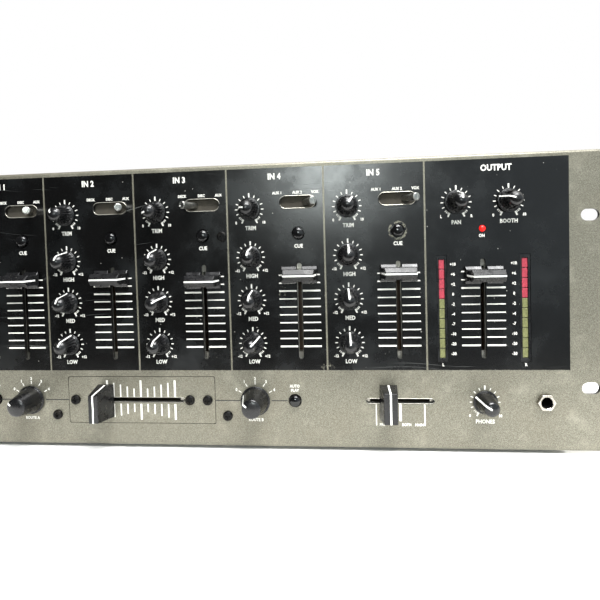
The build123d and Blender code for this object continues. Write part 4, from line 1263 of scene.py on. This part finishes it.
for side, x in zip(("left", "right"), METER_X):
    body = [on_face(shape, x, FADER_MIDDLE) for shape in meter_body()]
    replaced = ["level_meters"] if side == "left" else []
    piece(f"{side}_meter_channel", body, [METER_BLACK], "chassis", replaced, bevel=0.12 * MM)
    for colour, material, levels in (("red", RED_LENS, range(6, 10)), ("green", GREEN_LENS, range(6))):
        bars_here = [on_face(lens_bar(level), x, FADER_MIDDLE) for level in levels]
        name = f"{side}_meter_{colour}_bars"
        piece(name, bars_here, [material], "chassis", bevel=0.25 * MM)

turn = np.radians(np.linspace(0, 90, 10))
dome = np.column_stack((1.9 * np.cos(turn), -0.6 + 1.6 * np.sin(turn)))
rows = np.vstack(([(0, -16), (1.9, -16), (1.9, -2.9), (2.5, -2.9), (2.5, -2.3), (1.9, -2.3)], dome))
rows[-1, 0] = 0
lamp = on_face(lathe(rows * MM, 48), MASTER_X, up(133.1))
piece("power_lamp", [lamp], [LAMP_RED], "chassis")

# %% [markdown]
# ## Rolled rims of the slots
# A punched and painted slot has a soft rolled edge, so a thin bead follows each slot's
# outline: a round section carried along a stadium. Where the bead faces up to the light
# it is coloured bright metal: partly paint rubbed through, partly a painted highlight.


# %% Slot rims
def stadium(length, width, count=20):
    """The outline of a round-ended slot, anticlockwise, with its inward normals."""
    radius = width / 2
    reach = length / 2 - radius
    right = arc((reach, 0), radius, -90, 90, count)
    left = arc((-reach, 0), radius, 90, 270, count)
    outline = np.vstack((right, left))
    middle = np.vstack((np.tile((reach, 0), (count, 1)), np.tile((-reach, 0), (count, 1))))
    return outline, (outline - middle) / radius


def rim(length, width, bead, segments=8):
    """A tube of bead radius along the stadium: centre line plus a circle in the plane
    of the outline's normal and the panel's."""
    outline, out = stadium(length, width)
    turn = np.linspace(0, 2 * np.pi, segments, endpoint=False)
    ring = outline[:, None, :] + out[:, None, :] * (bead * np.cos(turn))[None, :, None]
    high = np.tile(bead * 0.6 * np.sin(turn), (len(outline), 1))[..., None]
    points = np.concatenate((ring, high), -1)
    count = len(outline)
    faces = grid_faces(count + 1, segments, True) % (count * segments)
    return points.reshape(-1, 3), faces


def rim_wear_and_highlight_material():
    """Black paint where the bead faces down; where it faces up, bright metal that is partly rubbed-through paint
    and partly a painted highlight.
    """
    material, tree, shader, place = start_material("worn_rim", 0.3)
    normal = node(tree, "ShaderNodeNewGeometry").outputs["Normal"]
    facing = node(tree, "ShaderNodeSeparateXYZ", {"Vector": normal}).outputs["Z"]
    rough = noise(tree, place, 400.0, 4.0, 0.7)
    # painted highlight: the more the bead faces up, the more it is coloured bright metal; partly real wear
    bare = ramp(tree, maths(tree, "ADD", facing, maths(tree, "MULTIPLY", rough, 0.5)), 0.35, 0.6)
    tree.links.new(blend(tree, bare, BLACK, linear(214, 210, 196)), shader.inputs["Base Color"])
    tree.links.new(maths(tree, "MULTIPLY", bare, 0.6), shader.inputs["Metallic"])
    polish = maths(tree, "ADD", 0.28, maths(tree, "MULTIPLY", rough, 0.15))
    tree.links.new(polish, shader.inputs["Roughness"])
    return material


WORN_AND_HIGHLIT_RIM = rim_wear_and_highlight_material()
rims = [
    on_face(rim(22.3 * MM, 7.7 * MM, 0.32 * MM), centre(f"ch{n}_selector_lever")[0], SELECTOR_ROW)
    for n in CHANNELS
]
rims.append(on_face(rim(57.0 * MM, 3.2 * MM, 0.28 * MM), CROSS_X, LOWER_ROW))
rims.append(on_face(rim(40.4 * MM, 3.2 * MM, 0.28 * MM), CUE_X, LOWER_ROW))
piece("rolled_slot_rims", rims, [WORN_AND_HIGHLIT_RIM], "chassis", sharp=80)

# %% [markdown]
# ## Sockets
# The headphone jack shows a six-sided nut round a plastic liner. The microphone socket
# is a square flange with a round well behind it. Wells and liners are turned, the nut is
# a turned tube whose radius follows six flats, and the flange joins a round hole to a
# square outline along rays from its middle.


# %% Sockets
def ring_profile(outer, bore, low, high, chamfer=0.25):
    """A thick tube's closed section, turned about the axis it never meets."""
    return (
        np.array(
            [
                (bore, low),
                (outer, low),
                (outer, high - chamfer),
                (outer - chamfer, high),
                (bore + chamfer, high),
                (bore, high - chamfer),
                (bore, low),
            ]
        )
        * MM
    )


def hexagon(radius, bore, low, high):
    """A nut: six flats with chamfered corners. The outer radius at an angle a from a
    flat's middle is the corner radius times cos 30 / cos a."""
    profile = ring_profile(radius, bore, low, high, 0.3)
    points, faces = lathe(profile, 96)
    radii = np.hypot(points[:, 0], points[:, 1])
    outer = radii > (bore + radius) / 2 * MM
    angle = np.arctan2(points[:, 1], points[:, 0]) % (np.pi / 3) - np.pi / 6
    scale = np.where(outer, math.cos(math.pi / 6) / np.cos(angle), 1.0)
    points[:, :2] *= scale[:, None]
    return points, faces


def mount_place(name):
    """(x, z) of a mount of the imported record."""
    place = next(mount["pos_m"] for mount in frame["record"]["mounts"] if mount["name"] == name)
    return place[0], place[2]


phones_x, phones_z = mount_place("phones_jack")
mic_x, mic_z = mount_place("mic_jack")
JACK_BORE, JACK_NECK, NUT_RADIUS, NUT_HEIGHT = 3.25, 4.4, 5.4, 2.2
nut = on_face(hexagon(NUT_RADIUS, JACK_BORE, 0.0, NUT_HEIGHT), phones_x, phones_z)
liner = on_face(lathe(ring_profile(JACK_NECK, JACK_BORE, -24.8, 2.0)), phones_x, phones_z)
body = on_face(block((-4.5 * MM, -7 * MM, -26 * MM), (4.5 * MM, 7 * MM, -24.8 * MM)), phones_x, phones_z)
piece("phones_nut", [nut], [NICKEL], "chassis", ["audio_sockets"], 30)
piece("phones_liner", [liner, body], [SOCKET_BLACK], "chassis", sharp=40)

CORNERS = ((1, 1, 0), (-1, 1, 90), (-1, -1, 180), (1, -1, 270))
flange_outline = np.vstack(
    [arc((sx * 11.4, sy * 13.9), 1.6, start, start + 90, 6) for sx, sy, start in CORNERS]
)


def flange_with_bore(outline, bore, low, high, count=72):
    """A plate with a round hole: each point of the hole is joined to the point of the
    outline in the same direction, on both faces."""
    angle = np.linspace(0, 2 * np.pi, count, endpoint=False)
    ray = np.stack((np.cos(angle), np.sin(angle)), -1)
    outline_angle = np.arctan2(outline[:, 1], outline[:, 0]) % (2 * np.pi)
    order = np.argsort(outline_angle)
    reach = np.interp(angle, outline_angle[order], np.hypot(*outline[order].T), period=2 * np.pi)
    edge = ray * reach[:, None]
    hole = ray * bore
    rows = [
        (hole, low),
        (edge, low),
        (edge, high - 0.3),
        (edge * 0.985, high),
        (hole * 1.03, high),
        (hole, high - 0.3),
        (hole, low),
    ]
    points = np.concatenate([np.column_stack((flat, np.full(count, level))) for flat, level in rows])
    return points * MM, grid_faces(len(rows), count, True)


MOUTH, WELL_RADIUS, WELL_FLOOR = 9.5, 12.0, -2.4
mic_flange = on_face(flange_with_bore(flange_outline, MOUTH, 0.0, 1.6), mic_x, mic_z)
well_rows = [(MOUTH, 1.3), (MOUTH, WELL_FLOOR), (JACK_BORE, WELL_FLOOR), (JACK_BORE, WELL_FLOOR - 20)]
well_rows += [(0, WELL_FLOOR - 20), (0, WELL_FLOOR - 22), (WELL_RADIUS, WELL_FLOOR - 22)]
well_rows += [(WELL_RADIUS, 0.0), (MOUTH, 0.0), (MOUTH, 1.3)]
well = on_face(lathe(np.array(well_rows) * MM, 72), mic_x, mic_z)
piece("mic_socket_flange", [mic_flange], [NICKEL], "chassis", sharp=30)
piece("mic_socket_well", [well], [SOCKET_BLACK], "chassis", sharp=30)

# %% [markdown]
# ## Sockets on the back
# Each phono socket is a nickel barrel on a coloured collar, with an insulator inside it:
# white is the left side and red is the right. The output jacks are the headphone jack
# again, smaller. Sockets that share a finish are joined into one piece.

# %% Rear sockets
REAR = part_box("rear_housing")[1].y
SHEET = 1.2
STRIPS = (*STRIP_LEFT.values(), MASTER_LEFT)
COLUMNS = [left + PITCH / 2 + side * 11 * MM for left in STRIPS for side in (-1, 1)]
PHONO_ROWS = {"white": up(129), "red": up(111)}
PHONO_RADIUS, PHONO_LINER, PHONO_PIN, PHONO_LENGTH = 4.15, 3.3, 1.75, 9.0
JACK_ROW = up(80)
INSULATORS = {
    "white": plastic("white_insulator", linear(214, 212, 204), 0.4, 0.2, 0.3),
    "red": plastic("red_insulator", linear(170, 30, 28), 0.4, 0.2, 0.3),
}


def on_rear(shape, x, z):
    return on_face(shape, x, z, REAR, rear=True)


def tube_on_rear(x, z, *size):
    return on_rear(lathe(ring_profile(*size), 48), x, z)


def body_on_rear(x, z, half_height, half_width=6.0, depth=14.0):
    """The block behind the sheet that a socket's barrel is moulded into."""
    low = (-half_width * MM, -half_height * MM, -(SHEET + depth) * MM)
    high = (half_width * MM, half_height * MM, -SHEET * MM)
    return on_rear(block(low, high), x, z)


barrels = []
for colour, material in INSULATORS.items():
    row = PHONO_ROWS[colour]
    insulators = []
    for x in COLUMNS:
        barrels.append(tube_on_rear(x, row, PHONO_RADIUS, PHONO_LINER, -SHEET, PHONO_LENGTH, 0.25))
        insulators.append(tube_on_rear(x, row, PHONO_LINER, PHONO_PIN, -SHEET, 8.2, 0.3))
        insulators.append(tube_on_rear(x, row, 5.4, PHONO_RADIUS, 0.0, 1.4, 0.4))
    piece(f"phono_{colour}_insulators", insulators, [material], "chassis", sharp=30)
piece("phono_barrels", barrels, [NICKEL], "chassis", sharp=30)

bodies = [body_on_rear(x, sum(PHONO_ROWS.values()) / 2, 17.0) for x in COLUMNS]
jack_nuts = []
for x in COLUMNS[-2:]:
    bodies.append(body_on_rear(x, JACK_ROW, 7.0))
    bodies.append(tube_on_rear(x, JACK_ROW, JACK_NECK, JACK_BORE, -SHEET, 2.0))
    jack_nuts.append(on_rear(hexagon(NUT_RADIUS, JACK_NECK, 0.0, NUT_HEIGHT), x, JACK_ROW))
piece("rear_socket_bodies", bodies, [SOCKET_BLACK], "chassis", sharp=30, bevel=0.2 * MM)
piece("output_jack_nuts", jack_nuts, [NICKEL], "chassis", sharp=30)

# %% [markdown]
# The earth post's thumb nut is one turned profile, and the function that ripples its
# radius looks at the height too, so that only the waist of the nut is ribbed.

# %% Earth post
POST_X, POST_ROW = -160 * MM, up(100)


def knurl(angle, height):
    """Thirty ribs a turn, a quarter of a millimetre deep, along the nut's waist."""
    along = (height > 2.2 * MM) & (height < 7.2 * MM)
    return -0.25 * MM * (0.5 + 0.5 * np.cos(30 * angle)) * along


post = [(0, 0), (3.9, 0), (3.9, 0.8), (2.6, 0.9), (2.6, 1.7), (4.0, 2.0)]
post += [(4.0, 2.4), (4.0, 4.5), (4.0, 7.0), (3.4, 7.6), (1.6, 7.6), (1.6, 8.0), (0, 8.0)]
thumb_nut = on_rear(lathe(np.array(post) * MM, 240, knurl), POST_X, POST_ROW)
piece("earth_post", [thumb_nut], [NICKEL], "chassis", sharp=40)

# %% [markdown]
# The back is lettered in the same white ink as the front. Each strip has its number, its
# two sources and the side that each socket serves, all measured from the columns.

# %% Rear legends
SOURCES = {1: ("DECK", "DISC"), 4: ("AUX 1", "AUX 2"), 6: ("OUT 1", "OUT 2")}
rear_words = []
for n, left in enumerate(STRIPS, 1):
    middle = left + PITCH / 2
    rear_words.append(("OUTPUT" if n == 6 else f"IN {n}", middle, up(146), 3.2))
    sources = SOURCES[max(first for first in SOURCES if first <= n)]
    for side, text in zip((11 * MM, -11 * MM), sources):
        rear_words.append((text, middle + side, up(140), 2.0))
        rear_words.append(("L", middle + 1.75 * side, PHONO_ROWS["white"], 2.0))
        rear_words.append(("R", middle + 1.75 * side, PHONO_ROWS["red"], 2.0))
rear_words += [("L", COLUMNS[-1], up(89.5), 2.0), ("R", COLUMNS[-2], up(89.5), 2.0)]
rear_words += [("EARTH", POST_X, up(108.5), 2.2), ("MAINS", -196 * MM, up(152), 2.6)]
rear_words.append(("ON", POST_X, up(147), 2.2))
rear_letters = [on_rear(letter_shape(text, tall * MM), x, row) for text, x, row, tall in rear_words]
piece("rear_legends", rear_letters, [WHITE_INK], "chassis", sharp=60)
print(len(barrels), "phono barrels,", len(jack_nuts), "output jacks")

# %% [markdown]
# ## Studio
# The floor and the light are the setting, not the mixer. The surroundings are white to
# the camera but dim in reflections, so the glossy black stays black. A large soft panel
# overhead lights the panel and the tops of the controls. A second one, straight above
# the caps, is mirrored in their sloping facets. A small bright one, placed like a window
# behind the viewer, is what the paint's film of dust and the scratches catch.


# %% Floor and backdrop
def sheet(name, corners, colour, roughness=0.9):
    mesh = bpy.data.meshes.new(name)
    mesh.from_pydata(corners, [], [(0, 1, 2, 3)])
    material, tree, shader, place = start_material(f"{name}_white", roughness)
    shader.inputs["Base Color"].default_value = colour
    mesh.materials.append(material)
    obj = bpy.data.objects.new(name, mesh)
    bpy.context.scene.collection.objects.link(obj)
    return obj


sheet("floor", [(-2, -0.16, 0), (2, -0.16, 0), (2, 2, 0), (-2, 2, 0)], linear(245, 244, 242))


# %% World
def surroundings():
    """White where the camera looks straight at it. Everything else sees a dim room with
    daylight from the front right and a pale wall high behind the mixer."""
    world = bpy.data.worlds.new("surroundings")
    bpy.context.scene.world = world
    world.use_nodes = True
    tree = world.node_tree
    back = tree.nodes["Background"]
    seen = node(tree, "ShaderNodeLightPath").outputs["Is Camera Ray"]
    where = node(tree, "ShaderNodeTexCoord").outputs["Generated"]
    x, y, z = node(tree, "ShaderNodeSeparateXYZ", {"Vector": where}).outputs
    room = blend(tree, ramp(tree, x, -0.3, 0.6), (0.05, 0.05, 0.05, 1), (0.72, 0.82, 0.88, 1))
    below = ramp(tree, z, 0.0, -0.35)
    room = blend(tree, below, room, (0.06, 0.06, 0.055, 1))
    behind = maths(tree, "ADD", maths(tree, "MULTIPLY", y, 0.7), maths(tree, "MULTIPLY", z, 0.6))
    behind = maths(tree, "ADD", behind, maths(tree, "MULTIPLY", x, 0.55))
    room = blend(tree, ramp(tree, behind, 0.55, 0.85), room, (2.6, 2.55, 2.4, 1))
    tree.links.new(blend(tree, seen, room, (1, 1, 1, 1)), back.inputs["Color"])


surroundings()


# %% Lights
def soft_light(name, place, aim, size, watts, colour=(1, 1, 1)):
    data = bpy.data.lights.new(name, "AREA")
    data.shape = "RECTANGLE"
    data.size, data.size_y = size
    data.energy = watts
    data.color = colour
    obj = bpy.data.objects.new(name, data)
    obj.location = place
    obj.rotation_euler = (Vector(aim) - Vector(place)).to_track_quat("-Z", "Y").to_euler()
    bpy.context.scene.collection.objects.link(obj)
    return obj


soft_light("overhead", (0.25, -0.5, 0.95), (0.05, 0, 0.09), (0.7, 0.3), 21)
soft_light("ceiling", (0.15, -0.03, 0.82), (0.15, -0.04, 0), (0.36, 0.24), 4.4)
soft_light("window", (0.065, -1.5, 0.42), (0.05, 0, 0.12), (0.3, 0.24), 6.2, (0.92, 1.0, 0.98))
bpy.context.scene.view_settings.view_transform = "Standard"
print("lights", len(bpy.data.lights))

# %% Finish
print(len(made), "new pieces")
